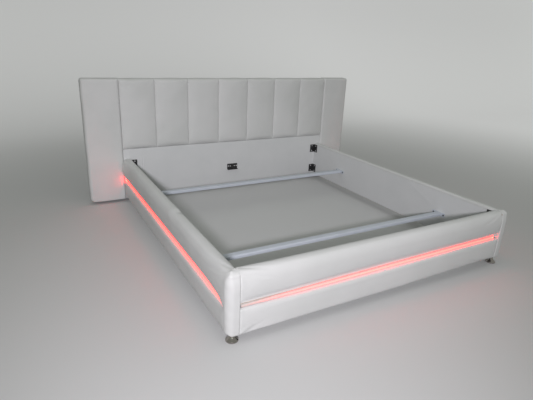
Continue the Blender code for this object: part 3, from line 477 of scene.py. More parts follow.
def seam_puckers(grid, seed, size, reach, length):
    """Small gathers that fade away from the edges of a cover over reach, as thread makes:
    a seeded field of short waves times exp(-gap / reach), and nothing at the very edge."""
    gap = from_edges(grid)
    fade = np.exp(-gap / reach) * grown(gap, STITCH_GAP)
    return size * fade * waves(grid, seed, length)


def unevenness(grid, seed, size, reach, length):
    """A soft seeded field that grows from the edges of a cover over reach."""
    return size * grown(from_edges(grid), reach) * waves(grid, seed, length)


channel_covers = swell([channel_grid(number) for number in range(CHANNELS)], channel_box)
for number, cover in enumerate(channel_covers):
    fine = refine(cover)
    lift = seam_puckers(fine, 40 + number, 0.0007, 0.016, 0.032)
    lift += unevenness(fine, 60 + number, 0.0007, 0.03, 0.13)
    pad(f"headboard_channel_{number + 1}", fine, lift, channel_box, leather, "leather",
        f"channel_pad_{number + 1}")


# The two wings are flat foam pads on the ends of the headboard, under leather that turns
# round the front, the outer side, the top and the bottom and is stapled at the back.
WING_SEAM = 0.96735
WING_WIDTH = 0.2760
WING_FRONT = 0.9927
WING_CROWN = 0.0070
WING_INNER_RADIUS = 0.018
WING_OUTER_RADIUS = 0.022
WING_BOTTOM = 0.0190
WING_TOP = 0.9920
WING_BOTTOM_RADIUS = 0.009
WING_TOP_RADIUS = 0.020
WING_LOW_CORNER = 0.032
WING_RIM = 0.0095
WING_BACK_EDGE = 0.045
WING_CROWN_FADE = 0.03
WING_TURNS = 6
WING_BOTTOM_RIM = 0.10
WING_TOP_RIM = 0.06
BOARD_BOTTOM = 0.0239
BOARD_HALF = 1.2335


def wing_grid(side):
    """The cover of a wing: its plan is carried up the height, and drawn in towards the seam
    and the back by quarter circles at the top, the bottom and the low outer corner."""
    plan = rounded([
        (0, BOARD_FACE, 0), (0, WING_FRONT, WING_INNER_RADIUS),
        (WING_WIDTH, WING_FRONT, WING_OUTER_RADIUS), (WING_WIDTH, BACK_PLANE, BACK_EDGE_RADIUS),
        (WING_WIDTH - WING_RIM, BACK_PLANE, 0)], COVER_STEP)
    depth = BACK_PLANE - WING_FRONT
    turn = np.linspace(0, math.pi / 2, WING_TURNS)
    flat_bottom = np.linspace(WING_BOTTOM_RIM, 1, WING_TURNS + 1)[:-1] * (
        depth - WING_BOTTOM_RADIUS)
    bottom = depth - WING_BOTTOM_RADIUS * (1 - np.sin(turn))
    straight = spread(WING_BOTTOM + WING_BOTTOM_RADIUS, WING_TOP - WING_TOP_RADIUS, COVER_STEP, 0.1)
    top = depth - WING_TOP_RADIUS * (1 - np.cos(turn))
    flat_top = np.linspace(1, WING_TOP_RIM, WING_TURNS + 1)[1:] * top[-1]
    deep = np.concatenate([flat_bottom, bottom, np.full(len(straight) - 2, depth), top, flat_top])
    height = np.concatenate([
        np.full(WING_TURNS, WING_BOTTOM), WING_BOTTOM + WING_BOTTOM_RADIUS * (1 - np.cos(turn)),
        straight[1:-1], WING_TOP - WING_TOP_RADIUS * (1 - np.sin(turn)),
        np.full(WING_TURNS, WING_TOP)])
    low = grown(WING_LOW_CORNER - (height - WING_BOTTOM), WING_LOW_CORNER)
    drawn = WING_LOW_CORNER * (1 - np.sqrt(1 - low ** 2))
    drawn += np.where(height > WING_TOP - WING_TOP_RADIUS - 1e-6, depth - np.maximum(
        deep, top[-1]), 0)
    across = plan[:, 0] * ((WING_WIDTH - drawn) / WING_WIDTH)[:, None]
    share = grown(deep, depth)[:, None]
    back = BACK_PLANE - (BACK_PLANE - plan[:, 1]) * share
    over = 1 - (2 * plan[:, 0] / WING_WIDTH - 1) ** 2
    rise = np.sin(math.pi * grown(height - WING_BOTTOM, WING_TOP - WING_BOTTOM))
    front = grown(BACK_PLANE - WING_BACK_EDGE - plan[:, 1], WING_CROWN_FADE)
    back -= WING_CROWN * over * front * np.sqrt(np.clip(rise, 0, 1))[:, None]
    return points_of(side * (WING_SEAM + across), back, height[:, None])


SIDES = ((-1, "left"), (1, "right"))
wing_box = ((-BOARD_HALF, BOARD_FACE, BOARD_BOTTOM), (BOARD_HALF, FREE, BOARD_TOP))
for side, word in SIDES:
    fine = refine(swell([wing_grid(side)], wing_box)[0])
    lift = seam_puckers(fine, 20 + side, 0.0008, 0.014, 0.03)
    lift += unevenness(fine, 24 + side, 0.0009, 0.03, 0.17)
    pad(f"headboard_wing_{word}", fine, lift, wing_box, leather, "leather",
        f"wing_pad_{word}")


# Below the channels the face board has only a flat cover of smooth lining on thin wadding,
# since the mattress stands against it. It is sewn to the channels and to the two wings.
PANEL_HALF = 0.96675
PANEL_BOTTOM = 0.0240
PANEL_TOP = 0.4377
PANEL_FACE = 1.0037
PANEL_FOLD_WIDTH = 0.004
PANEL_FOLD_LEAN = 0.006
PANEL_FOLD_LOW = 0.250
PANEL_FOLD_HIGH = 0.360
PANEL_FOLDS = ((-0.826, 0.0030), (-0.817, -0.0016), (-0.808, 0.0024), (0.846, 0.0010))

lining = new_material("smooth_lining", (0.65, 0.66, 0.66), 0.55)
mottle(lining, "Base Color", object_place(lining), 4.0, [
    (0.3, (0.64, 0.65, 0.652)), (0.55, (0.665, 0.672, 0.674)),
    (0.75, (0.68, 0.685, 0.687))], 3, 0.6)
slubs = noise(lining, object_place(lining, (60.0, 60.0, 700.0)), 3.0, 2)
threads = noise(lining, object_place(lining, (700.0, 700.0, 60.0)), 3.0, 2)
emboss(lining, (slubs, 0.25, 0.0003), (threads, 0.25, 0.0003))

panel_path = rounded([
    (BOARD_FACE, PANEL_BOTTOM, 0), (PANEL_FACE, PANEL_BOTTOM, 0.004),
    (PANEL_FACE, PANEL_TOP, 0.003), (BOARD_FACE, PANEL_TOP, 0)], 0.014)
panel_rows = spread(-PANEL_HALF, PANEL_HALF, 0.009, 0.02)
panel_box = ((-FREE, BOARD_FACE, -FREE), (FREE, FREE, FREE))
fine = refine(points_of(panel_rows[:, None], *panel_path.T))
lift = seam_puckers(fine, 31, 0.0005, 0.02, 0.04) + unevenness(fine, 33, 0.0004, 0.04, 0.22)
for x, size in PANEL_FOLDS:
    lift += size * fold(fine, (x, PANEL_FACE, PANEL_FOLD_LOW), (
        x + PANEL_FOLD_LEAN, PANEL_FACE, PANEL_FOLD_HIGH), PANEL_FOLD_WIDTH)
pad("headboard_lower_panel", fine, lift, panel_box, lining, "lining",
    "headboard_lower_cover")


# The back is closed by thin black non-woven cloth, pulled flat over the battens and stapled
# every few centimetres round its edge and down the inner battens.
BACK_HALF = 1.2330
BACK_BOTTOM = 0.0245
BACK_TOP = 0.9825
CLOTH_OUT = 1.0702
CLOTH_THICK = 0.0006
STAPLE_PITCH = 0.055
STAPLE_WIDTH = 0.010
STAPLE_WIRE = 0.0005
STAPLE_INSET = 0.012
STAPLE_PROUD = 0.0002
STAPLE_SIDE = 0.04
STAPLE_FOOT = 0.06
STILE_LINE = 0.880
SLACK_START = 0.03
SLACK_REACH = 0.15
SLACK_SAG = 0.0006
SLACK_WAVE = 0.0003

back_cloth = new_material("black_non_woven_cloth", (0.022, 0.022, 0.024), 0.92)
dot_place = object_place(back_cloth)
dots = add_node(back_cloth, "ShaderNodeTexVoronoi", {
    "Vector": dot_place, "Scale": 420.0, "Randomness": 0.15})
mottle(back_cloth, "Base Color", dot_place, 90.0, [
    (0.3, (0.014, 0.014, 0.015)), (0.7, (0.034, 0.034, 0.037))], 4, 0.7)
emboss(back_cloth, (dots.outputs["Distance"], 0.5, 0.0005))

across = np.linspace(-BACK_HALF, BACK_HALF, 249)[:, None]
up = np.linspace(BACK_BOTTOM, BACK_TOP, 97)
cloth_out = points_of(across, CLOTH_OUT, up)
across = np.abs(across)
stapled = np.minimum(np.minimum(np.abs(across - STILE_LINE), BACK_HALF - across),
                     np.minimum(BACK_TOP - up, up - BACK_BOTTOM))
slack = grown(stapled - SLACK_START, SLACK_REACH)
cloth_out[..., 1] -= SLACK_SAG * slack + SLACK_WAVE * (1 + waves(cloth_out, 71, 0.12)) * slack
cloth_in = cloth_out - np.array([0, CLOTH_THICK, 0])
stretched("back_cloth", cloth_out, cloth_in, back_cloth, "back_cloth", (2.466, 0.958), STILES,
          "headboard_back_lining")

steel_wire = new_material("zinc_plate", (0.84, 0.84, 0.85), 0.46, Metallic=0.6)
mottle(steel_wire, "Roughness", object_place(steel_wire), 900.0, [(0.3, 0.40), (0.7, 0.55)], 3)
mottle(steel_wire, "Base Color", object_place(steel_wire), 300.0, [
    (0.3, (0.80, 0.80, 0.81)), (0.7, (0.90, 0.90, 0.91))])


def boxes(name, centres, half, material):
    """Small blocks in one mesh: eight corners round each centre."""
    signs = np.array([[x, y, z] for x in (-1, 1) for y in (-1, 1) for z in (-1, 1)])
    points = (np.asarray(centres)[:, None] + signs * half).reshape(-1, 3)
    one = np.array([[0, 1, 3, 2], [4, 6, 7, 5], [0, 4, 5, 1], [2, 3, 7, 6], [0, 2, 6, 4],
                    [1, 5, 7, 3]])
    faces = (one + 8 * np.arange(len(centres))[:, None, None]).reshape(-1, 4)
    return build(name, points, faces.tolist(), material)


across = np.arange(-BACK_HALF + STAPLE_SIDE, BACK_HALF - STAPLE_SIDE, STAPLE_PITCH)
up = np.arange(BACK_BOTTOM + STAPLE_FOOT, BACK_TOP - STAPLE_FOOT, STAPLE_PITCH)
edge = BACK_HALF - STAPLE_INSET
rows = [(x, z) for z in (BACK_BOTTOM + STAPLE_INSET, BACK_TOP - STAPLE_INSET) for x in across]
rows += [(x, z) for x in (-edge, -STILE_LINE, STILE_LINE, edge) for z in up]
staples = boxes("back_cloth_staples", [(x, CLOTH_OUT + STAPLE_PROUD, z) for x, z in rows],
                (STAPLE_WIDTH / 2, STAPLE_WIRE, STAPLE_WIRE), steel_wire)
enrol(staples, "zinc")


# The rails and the footboard are one section: a chipboard core wrapped in foam and leather,
# an upper roll that laps over the inner edge, a lower roll, and between them a lit groove.
RAIL_FACE = 0.910
FOOT_FACE = -1.0063
RAIL_BASE = 0.045
RAIL_HEAD = 1.0034
RAIL_FOOT = -1.0310
FOOT_HALF = 0.9097
CORE_BACK = 0.0017
CORE_FACE = 0.0403
CORE_BASE = 0.0047
CORE_CROWN = 0.3053
HEAD_FADE = 0.028
HEAD_SHARE = 0.52
NOSE_BULGE = 0.6
NOSE_REACH = 0.090
NOSE_BASE = 0.18
GROOVE_CLOSE = 0.240
GROOVE_UPPER_DROP = 0.029
GROOVE_LOWER_RISE = 0.007
UPPER_LIP = 0.23
UPPER_LIP_FADE = 0.06
LIP_FADE = 0.04
LOWER_LIP = 0.09
LIP_START = 0.004
LIP_LENGTH = 0.010
GROOVE_CLIMB = 0.013
CLIMB_START = -0.600
HANG = 0.012
HANG_REACH = 0.060
HANG_END = 0.80
HANG_LENGTH = 0.75
HANG_EDGE = 0.010
ROLL_HANG_OUT = 0.030
GROOVE_MIDDLE = 0.149
CLIMB_REACH = 0.10
LAP_ALLOWANCE = 0.001
ROLL_FACE = 0.0655
END_ROWS = np.array([0.002, 0.005])
SEAM_FADE = 0.016
SEAM_SHARE = 0.84
NOTCH = ((-0.0048, -0.282, 0.021), (0.0030, -0.222, 0.036))
NOTCH_BASE = 0.30
NOTCH_RISE = 0.03
NOTCH_EDGE = 0.02
NOTCH_OUT = -0.950
NOTCH_DEEP = 0.028
SHOULDER = [
    (0.0240, 0.3215, 0.050), (0.0500, 0.3125, 0.030), (0.0650, 0.2750, 0.100),
    (0.0668, 0.2250, 0.300)]
UPPER_ROLL = [
    (0.0017, 0.2950, 0), (0.0, 0.2950, 0.0005), (0.0, 0.3175, 0.012), *SHOULDER,
    (0.0612, 0.1685, 0.0035), (CORE_FACE, 0.1685, 0)]
LOWER_ROLL = [
    (0.0023, 0.0047, 0), (0.0023, 0.0, 0.002), (0.0630, 0.0, 0.013), (0.0655, 0.0650, 0.5),
    (0.0635, 0.1300, 0.015), (CORE_FACE, 0.1300, 0)]


def rail_place(side, along, out, height):
    """Turns (along, out from the inner face, height) into a place on a rail or, where side
    is 0, on the footboard."""
    if side:
        return points_of(side * (RAIL_FACE + out), along, RAIL_BASE + height)
    return points_of(along, FOOT_FACE - out, RAIL_BASE + height)


def rail_ends(side):
    """Where the covers of a rail or of the footboard start and end."""
    return (RAIL_FOOT, RAIL_HEAD) if side else (-FOOT_HALF, FOOT_HALF)


def groove_climb(side, along):
    """How far the footboard's groove has climbed, evenly, on its way to the right end."""
    way = grown(along - CLIMB_START, FOOT_HALF - CLIMB_START)
    return GROOVE_CLIMB * way * (side == 0)


def hang(along, height, out, start):
    """How far the padding at the bed's foot end hangs down, where it is further out than
    start. It hangs most at the bed's left end and least at its right end and upwards."""
    sides = grown(HANG_END - along, HANG_LENGTH) * grown(out - start, HANG_EDGE)
    return HANG * sides * np.clip(1 - height / HANG_REACH, 0, 1)


def roll_grid(side, section):
    """The cover of a roll: its section carried along, drawn in over the core at its seams by
    1 - (1 - share) (1 - t)^3.5 and at a rail's head end by a quarter circle. There the upper
    roll swells by exp(-(gap / reach)^2), and at a rail's foot end the groove closes."""
    path = rounded(section, COVER_STEP)
    low, high = rail_ends(side)
    along = spread(low, high, COVER_STEP, 0.03)
    along = np.unique([*along, *(low + END_ROWS), *(high - END_ROWS)])
    seam = lambda gap: 1 - (1 - SEAM_SHARE) * (1 - grown(gap, SEAM_FADE)) ** 3.5
    if side:
        past = 1 - grown(high - along, HEAD_FADE)
        share = HEAD_SHARE + (1 - HEAD_SHARE) * np.sqrt(1 - past ** 2)
    else:
        share = seam(along - low) * seam(high - along)
    share = share[:, None]
    out, height = path.T
    along = along[:, None]
    wide = 1.0
    if side and section is UPPER_ROLL:
        nose = np.exp(-((high - along) / NOSE_REACH) ** 2)
        wide = 1 + NOSE_BULGE * nose * grown(height - NOSE_BASE, LIP_FADE)
    out = np.where(out > CORE_FACE, CORE_FACE + (out - CORE_FACE) * share * wide, out)
    height = np.where(height > CORE_CROWN, CORE_CROWN + (height - CORE_CROWN) * share, height)
    if side:
        closing = (1 - grown(along - low, GROOVE_CLOSE)) ** 2
        closing = closing * (out > CORE_FACE - LAP_ALLOWANCE)
        if section is UPPER_ROLL:
            lip = grown(UPPER_LIP - height, UPPER_LIP_FADE)
            height = height - GROOVE_UPPER_DROP * closing * lip
        else:
            lip = grown(height - LOWER_LIP, LIP_FADE)
            height = height + GROOVE_LOWER_RISE * closing * lip
        outer = grown(out - CORE_FACE - LIP_START, LIP_LENGTH)
        out = out + closing ** 2 * lip * outer * np.maximum(ROLL_FACE - out, 0)
    elif section is LOWER_ROLL:
        height = height - hang(along, height, out, ROLL_HANG_OUT)
    near_groove = np.clip(1 - np.abs(height - GROOVE_MIDDLE) / CLIMB_REACH, 0, 1)
    near_groove = near_groove * (out > CORE_FACE - LAP_ALLOWANCE)
    return rail_place(side, along, out, height + groove_climb(side, along) * near_groove)


def notch(points):
    """A dent in the inner top edge of the left rail, past its middle, with a low swelling on
    its head side, each exp(-((y - place) / width)^2)."""
    x, y, z = np.moveaxis(points, -1, 0)
    top = grown(z - NOTCH_BASE, NOTCH_RISE) * grown(from_edges(points), NOTCH_EDGE)
    dent, swelling = (size * np.exp(-((y - place) / width) ** 2) for size, place, width in NOTCH)
    return top * (grown(x - NOTCH_OUT, NOTCH_DEEP) * dent + swelling)


def core_box(side):
    """The box of the core, in the frame's axes, that a roll's inner face is pressed on."""
    base, top = RAIL_BASE + CORE_BASE, RAIL_BASE + CORE_CROWN
    if side:
        ends = sorted((side * (RAIL_FACE + CORE_BACK), side * (RAIL_FACE + CORE_FACE)))
        return (ends[0], -FREE, base), (ends[1], FREE, top)
    return (-FREE, FOOT_FACE - CORE_FACE, base), (FREE, FOOT_FACE - CORE_BACK, top)


RAILS = ((-1, "left_rail"), (1, "right_rail"), (0, "footboard"))
for side, word in RAILS:
    box = core_box(side)
    rolls = swell([roll_grid(side, UPPER_ROLL), roll_grid(side, LOWER_ROLL)], box)
    for seed, (part, cover) in enumerate(zip(("upper", "lower"), rolls)):
        fine = refine(cover)
        lift = seam_puckers(fine, 80 + 7 * seed + side, 0.0003, 0.012, 0.035)
        lift += unevenness(fine, 90 + 7 * seed + side, 0.0006, 0.06, 0.20)
        if word == "left_rail" and part == "upper":
            lift += notch(fine)
        pad(f"{word}_{part}_roll", fine, lift, box, leather, "leather",
            f"{word}_{part}_pad")


# The foot corners are upright pads of their own, sewn on along the two neighbours. The roll of
# the rail runs into them and turns, and where it meets the footboard's it stands in a low peak.
POST_BACK = 0.0250
POST_AHEAD = 0.0015
SHOULDER_AHEAD = 0.0035
SHOULDER_REACH = 0.012
POST_RADIUS = 0.036
POST_SHRINK = 1.6
POST_STEP = 0.006
POST_RIDGE_RADIUS = 0.009
POST_BOARD = 0.0543
POST_HANG_OUT = 0.053
POST_SECTION = [
    (0.0230, 0.0, 0), (0.0630, 0.0, 0.015), (0.0655, 0.0650, 0.5), *SHOULDER[::-1],
    (0.0232, 0.3215, 0)]
POST_SEAM_DROP = 0.0035
POST_SEAM_REACH = 0.008
PEAK_PLACE = np.array([0.036, 0.036])
PEAK_REACH = 0.010
PEAK_RISE = 0.004
PEAK_BASE = 0.16


def post_grid(side):
    """The cover of a corner post. Each level of the rail's outline, drawn in from its face by
    some depth, goes straight on, round an arc whose radius shrinks 1.6 times as fast, and
    straight to the seam with the footboard, where it is drawn in by a square law. Round the
    core's top edge it stands ahead by exp(-(gap / reach)^2)."""
    outline = rounded(POST_SECTION, POST_STEP)
    out, height = outline.T[..., None]
    radius = np.clip(POST_RADIUS - POST_SHRINK * (ROLL_FACE - out), POST_RIDGE_RADIUS, None)
    ahead = SHOULDER_AHEAD * np.exp(-((height - CORE_CROWN) / SHOULDER_REACH) ** 2)
    front = out + POST_AHEAD + ahead
    turn = np.linspace(0, math.pi / 2, 12)
    start = np.maximum(front - radius, POST_BACK)
    straight = POST_BACK + (start - POST_BACK) * np.linspace(0, 1, 4)[:-1]
    arc_out = out - radius * (1 - np.cos(turn))
    arc_down = start + (front - start) * np.sin(turn)
    run = arc_out[:, -1:] * np.linspace(1, 0, 9)[1:]
    across = np.concatenate([np.broadcast_to(out, straight.shape), arc_out, run], axis=1)
    down = np.concatenate([straight, arc_down, np.broadcast_to(front, run.shape)], axis=1)
    down = down - POST_SEAM_DROP * (1 - grown(across, POST_SEAM_REACH)) ** 2 * (
        front - POST_BACK) / (ROLL_FACE - POST_BACK)
    gap = np.linalg.norm(np.stack([across, down], axis=-1) - PEAK_PLACE, axis=-1)
    peak = PEAK_RISE * np.exp(-(gap / PEAK_REACH) ** 2) * (height > PEAK_BASE)
    height = height + peak - hang(side * RAIL_FACE, height, down, POST_HANG_OUT)
    return points_of(
        side * (RAIL_FACE + across), FOOT_FACE - np.maximum(down, POST_BACK), RAIL_BASE + height)


for side, word in SIDES:
    low, high = core_box(side)
    box = ((low[0], FOOT_FACE - POST_BOARD, low[2]), (high[0], FOOT_FACE - POST_BACK, high[2]))
    fine = refine(post_grid(side))
    lift = unevenness(fine, 101 + side, 0.0004, 0.012, 0.06)
    pad(f"{word}_corner_post", fine, lift, box, leather, "leather", f"{word}_corner_pad")


# The inner sides of the bay are faced with the same lining, pulled flat over the cores and
# stapled under the laps of the rolls. A few slack lines are left in it.
LINING_BASE = 0.0055
LINING_TOP = 0.2947
LINING_THICK = 0.0008
LINING_SLACK = 0.0004
LINING_OUT = 0.0006
LINING_FOLD_WIDTH = 0.007
LINING_FOLDS = (
    ((RAIL_FACE, -0.250, 0.337), (RAIL_FACE, -0.560, 0.212), 0.0007),
    ((RAIL_FACE, -0.330, 0.338), (RAIL_FACE, -0.575, 0.235), -0.0004),
    ((RAIL_FACE, 0.820, 0.337), (RAIL_FACE, 0.600, 0.225), 0.0005))

for side, word in RAILS:
    low, high = rail_ends(side)
    along = np.linspace(low, high, 291)[:, None]
    height = np.linspace(LINING_BASE, LINING_TOP, 43)
    face = rail_place(side, along, 0.0, height)
    lift = LINING_SLACK + unevenness(face, 120 + side, 0.0002, 0.02, 0.11)
    if side > 0:
        for start, end, size in LINING_FOLDS:
            lift += size * fold(face, start, end, LINING_FOLD_WIDTH)
    outer = rail_place(side, along, LINING_OUT - lift, height)
    inner = rail_place(side, along, LINING_OUT - lift + LINING_THICK, height)
    stretched(f"{word}_inner_lining", outer, inner, lining, "lining",
              (float(high - low), LINING_TOP - LINING_BASE), [f"{word}_core"], f"{word}_lining")


# A strip of red lamps shines out of each groove through an opal sleeve, which is pushed over
# a shallow channel of drawn aluminium that is screwed along the lower edge of the groove. The
# back of the groove above it is faced with a strip of the same leather.
aluminium = new_material("drawn_aluminium", (0.60, 0.60, 0.61), 0.5, Metallic=1.0)
draw_place = object_place(aluminium, (6.0, 6.0, 900.0))
mottle(aluminium, "Roughness", draw_place, 2.0, [(0.3, 0.42), (0.7, 0.58)])
emboss(aluminium, (noise(aluminium, draw_place, 3.0, 2), 0.15, 0.0002))

SLEEVE_EDGE = 0.1900
SLEEVE_BASE = 0.1762
SLEEVE_WALL = 0.002
WALL_GLOW = 0.25


def span(material, value, low, high, start=0.0, end=1.0, **settings):
    """The way of a value between low and high, as a number between start and end."""
    return add_node(material, "ShaderNodeMapRange", {
        "Value": value, "From Min": low, "From Max": high, "To Min": start, "To Max": end},
        **settings).outputs["Result"]


def lamp_material(name, axis, low, high, levels):
    """An opal sleeve with red lamps in it. Their light follows levels along one axis between
    low and high, is paler along its middle line, and falls off over the sleeve's top edge,
    where the wall is opaque."""
    sleeve = new_material(name, (0.59, 0.57, 0.54), 0.5, Emission_Strength=40.0)
    place = object_place(sleeve)
    mottle(sleeve, "Base Color", place, 70.0, [
        (0.3, (0.57, 0.55, 0.52)), (0.7, (0.61, 0.59, 0.56))], 1)
    axes = add_node(sleeve, "ShaderNodeSeparateXYZ", {"Vector": place}).outputs
    along = span(sleeve, axes[axis], low, high)
    climb = span(sleeve, axes["X"], CLIMB_START, FOOT_HALF, 0.0, GROOVE_CLIMB * (axis == "X"))
    level = add_node(sleeve, "ShaderNodeMath", {0: axes["Z"], 1: climb},
                     operation="SUBTRACT").outputs["Value"]
    edge = span(sleeve, level, SLEEVE_EDGE - SLEEVE_WALL, SLEEVE_EDGE, 1.0, WALL_GLOW)
    across = span(sleeve, level, SLEEVE_BASE, SLEEVE_EDGE)
    glow = add_node(sleeve, "ShaderNodeVectorMath", {
        0: ramp(sleeve, along, levels),
        1: ramp(sleeve, across, [
            (0.1, (1, 0.004, 0.003)), (0.5, (1, 0.030, 0.011)), (0.9, (1, 0.004, 0.003))])},
        operation="MULTIPLY")
    paint(sleeve, "Emission Color", add_node(sleeve, "ShaderNodeVectorMath", {
        0: glow.outputs["Vector"], "Scale": edge}, operation="SCALE").outputs["Vector"])
    return sleeve


lamps = {
    -1: lamp_material("red_rail_lamps", "Y", 0.90, 0.99, [(0.0, 0.17), (0.4, 0.32), (1.0, 0.88)]),
    1: lamp_material("dim_red_rail_lamps", "Y", 0.50, 0.99, [
        (0.0, 0.17), (0.6, 0.03), (1.0, 0.01)]),
    0: lamp_material("red_foot_lamps", "X", -0.90, 0.90, [
        (0.0, 0.003), (0.045, 0.008), (0.10, 0.030), (0.20, 0.10), (0.4, 0.17), (0.978, 0.17),
        (0.986, 0.80)])}
COVER_SECTION = [
    (0.0406, 0.1446, 0), (0.0406, 0.1456, 0.0005), (0.0517, 0.1456, 0.004),
    (0.0517, 0.1312, 0.004), (0.0496, 0.1312, 0)]
COVER_OUT = 0.0496
COVER_TOP = 0.1446
COVER_BASE = 0.1312
RAIL_LAMP_HEAD = 0.9897
FOOT_LAMP_ENDS = (-0.8997, 0.8747)
FACING_LOW = 0.1468
FACING_HIGH = 0.1700
FACING_OUT = 0.0401
FACING_THICK = 0.0006
FACING_STEP = 0.01
POST_FACING_DOWN = (0.041, 0.0625)
POST_FACING_UP = (0.126, 0.186)
POST_FACING_OUT = 0.0002
GROOVE_END_GAP = 0.0013
GROOVE_END_LOW = 0.1302
FACING_GAP = 0.0003


def groove_facing(name, side, word, ends, low, high):
    """A flat strip of leather on the outside of a core, between two ends and two heights."""
    along = np.linspace(*ends, 3 + int((ends[1] - ends[0]) / FACING_STEP))[:, None]
    height = np.linspace(low, high, 7) + groove_climb(side, along)
    face = rail_place(side, along, FACING_OUT + FACING_THICK, height)
    back = rail_place(side, along, FACING_OUT, height)
    stretched(name, face, back, leather, "leather", (float(ends[1] - ends[0]), high - low),
              [f"{word}_core"])


for side, word in RAILS:
    finish_nodes(aluminium, f"{word}_light_profile")
    ends = (RAIL_FOOT, RAIL_LAMP_HEAD) if side else FOOT_LAMP_ENDS
    path = rounded(COVER_SECTION, 0.003)
    along = np.linspace(*ends, 101)[:, None]
    taller = groove_climb(side, along) / (COVER_TOP - COVER_BASE)
    inner = np.minimum(path[:, 1], COVER_TOP)
    face = rail_place(side, along, path[:, 0], path[:, 1] + (path[:, 1] - COVER_BASE) * taller)
    back = rail_place(side, along, np.minimum(path[:, 0], COVER_OUT),
                      inner + (inner - COVER_BASE) * taller)
    cover = close_skin(f"{word}_lamp_cover", face, back, lamps[side])
    enrol(cover, "light", f"{word}_light_strip")
    groove_facing(f"{word}_groove_facing", side, word, rail_ends(side), FACING_LOW, FACING_HIGH)
for side, word in SIDES:
    down, height = np.linspace(*POST_FACING_DOWN, 7), np.linspace(*POST_FACING_UP, 16)[:, None]
    face, back = (
        rail_place(side, FOOT_FACE - down, out, height)
        for out in (POST_FACING_OUT, POST_FACING_OUT + FACING_THICK))
    stretched(f"{word}_post_facing", face, back, leather, "leather", (0.0215, 0.060),
              [f"{word}_rail_core"])
ends = (FOOT_LAMP_ENDS[1] + GROOVE_END_GAP, FOOT_HALF)
groove_facing("footboard_groove_end", 0, "footboard", ends, GROOVE_END_LOW,
              FACING_LOW - FACING_GAP)


# Pressed steel angles, powder coated black, hold the four corners of the bay, two to each
# corner, with four cross-head screws apiece. Two more carry the ends of a middle beam.
BRACKET_LEG = 0.050
BRACKET_BASES = ((0.069, "lower"), (0.272, "upper"))
BRACKET_HEIGHT = 0.075
BRACKET_THICK = 0.0025
BRACKET_PLAY = 0.0003
BRACKET_BEND = 0.004
SCREW_HEAD = 0.0048
SCREW_RISE = 0.0026
SCREW_PITCH = 0.050
SCREW_OUT = 0.030
SLOT_HALF = 0.13
SLOT_REACH = 0.58
BEND_STEP = 0.01
BRACKET_EDGE = 0.0006
BAY_ENDS = (("head", PANEL_FACE, -1), ("foot", FOOT_FACE, 1))

black_steel = new_material("black_powder_coat", (0.020, 0.020, 0.021), 0.42)
coat_place = object_place(black_steel)
mottle(black_steel, "Base Color", coat_place, 60.0, [
    (0.3, (0.014, 0.014, 0.015)), (0.7, (0.030, 0.030, 0.031))], 3)
emboss(black_steel, (noise(black_steel, coat_place, 1100.0, 2), 0.35, 0.0003))


def plate(name, node, outline, levels, place, material, slot, edge):
    """A closed outline carried between two levels, its ends filled and its sharp edges
    rounded. place turns (across, up, level) into points."""
    count = len(outline)
    points = np.concatenate([place(*outline.T, level) for level in levels])
    index = np.arange(count)
    following = np.roll(index, -1)
    faces = np.stack([index, following, following + count, index + count], 1).tolist()
    faces += [index[::-1].tolist(), (index + count).tolist()]
    piece = build(name, points, faces, material)
    put(piece.modifiers.new("Bevel", "BEVEL"), width=edge, segments=2, limit_method="ANGLE",
        angle_limit=math.radians(40))
    enrol(piece, slot, node)


def angle_outline(ledge, leg, bend, thickness):
    """The outline of a bent plate: two legs joined by an arc, with their offset to the left."""
    path = rounded([(ledge, 0, 0), (0, 0, bend), (0, leg, 0)], BEND_STEP)
    along = np.gradient(path, axis=0)
    along /= np.linalg.norm(along, axis=1, keepdims=True)
    beside = path + thickness * np.stack([-along[:, 1], along[:, 0]], axis=1)
    return np.concatenate([path, beside[::-1]])


def ring_faces(rings, spokes, start=0):
    """The faces of rings of points, one after another, and of a point that closes each end."""
    ring = start + np.arange(rings * spokes).reshape(rings, spokes)
    after = np.roll(ring, -1, axis=1)
    faces = np.stack([ring[:-1], after[:-1], after[1:], ring[1:]], -1).reshape(-1, 4).tolist()
    first = start + ring.size
    faces += [[first, b, a] for a, b in zip(ring[0].tolist(), after[0].tolist())]
    return faces + [[first + 1, a, b] for a, b in zip(ring[-1].tolist(), after[-1].tolist())]


def screws(name, node, places, heads, material, slot, radius=SCREW_HEAD, rise=SCREW_RISE):
    """Cross-head screw heads: a dome of height rise (1 - 0.75 (r / R)^2.4) with two crossed
    slots sunk in it to 0.3 of its rise, and a flat disc under it."""
    rings, spokes = 12, 32
    reach = np.sin(np.linspace(0, math.pi / 2, rings + 1))[1:, None]
    turn = np.linspace(0, 2 * math.pi, spokes, endpoint=False)
    x, y = reach * np.cos(turn), reach * np.sin(turn)
    height = rise * (1 - 0.75 * reach ** 2.4) * np.ones(spokes)
    low = 0.30 * rise
    sunk = np.minimum(np.abs(x), np.abs(y)) < SLOT_HALF
    sunk &= np.maximum(np.abs(x), np.abs(y)) < SLOT_REACH
    height = np.where(sunk, low, height)
    top = points_of(x * radius, y * radius, height).reshape(-1, 3)
    skirt = points_of(x[-1] * radius, y[-1] * radius, 0.0)
    local = np.concatenate([top, skirt, [[0, 0, low], [0, 0, 0]]])
    domes, faces = [], []
    for order, (place, head) in enumerate(zip(places, heads)):
        first = np.cross(head, (0, 0, 1.0))
        first /= np.linalg.norm(first)
        domes.append(place + local @ np.stack([first, np.cross(head, first), head]))
        faces += ring_faces(rings + 1, spokes, order * len(local))
    enrol(build(name, np.concatenate(domes), faces, material, 30), slot, node)


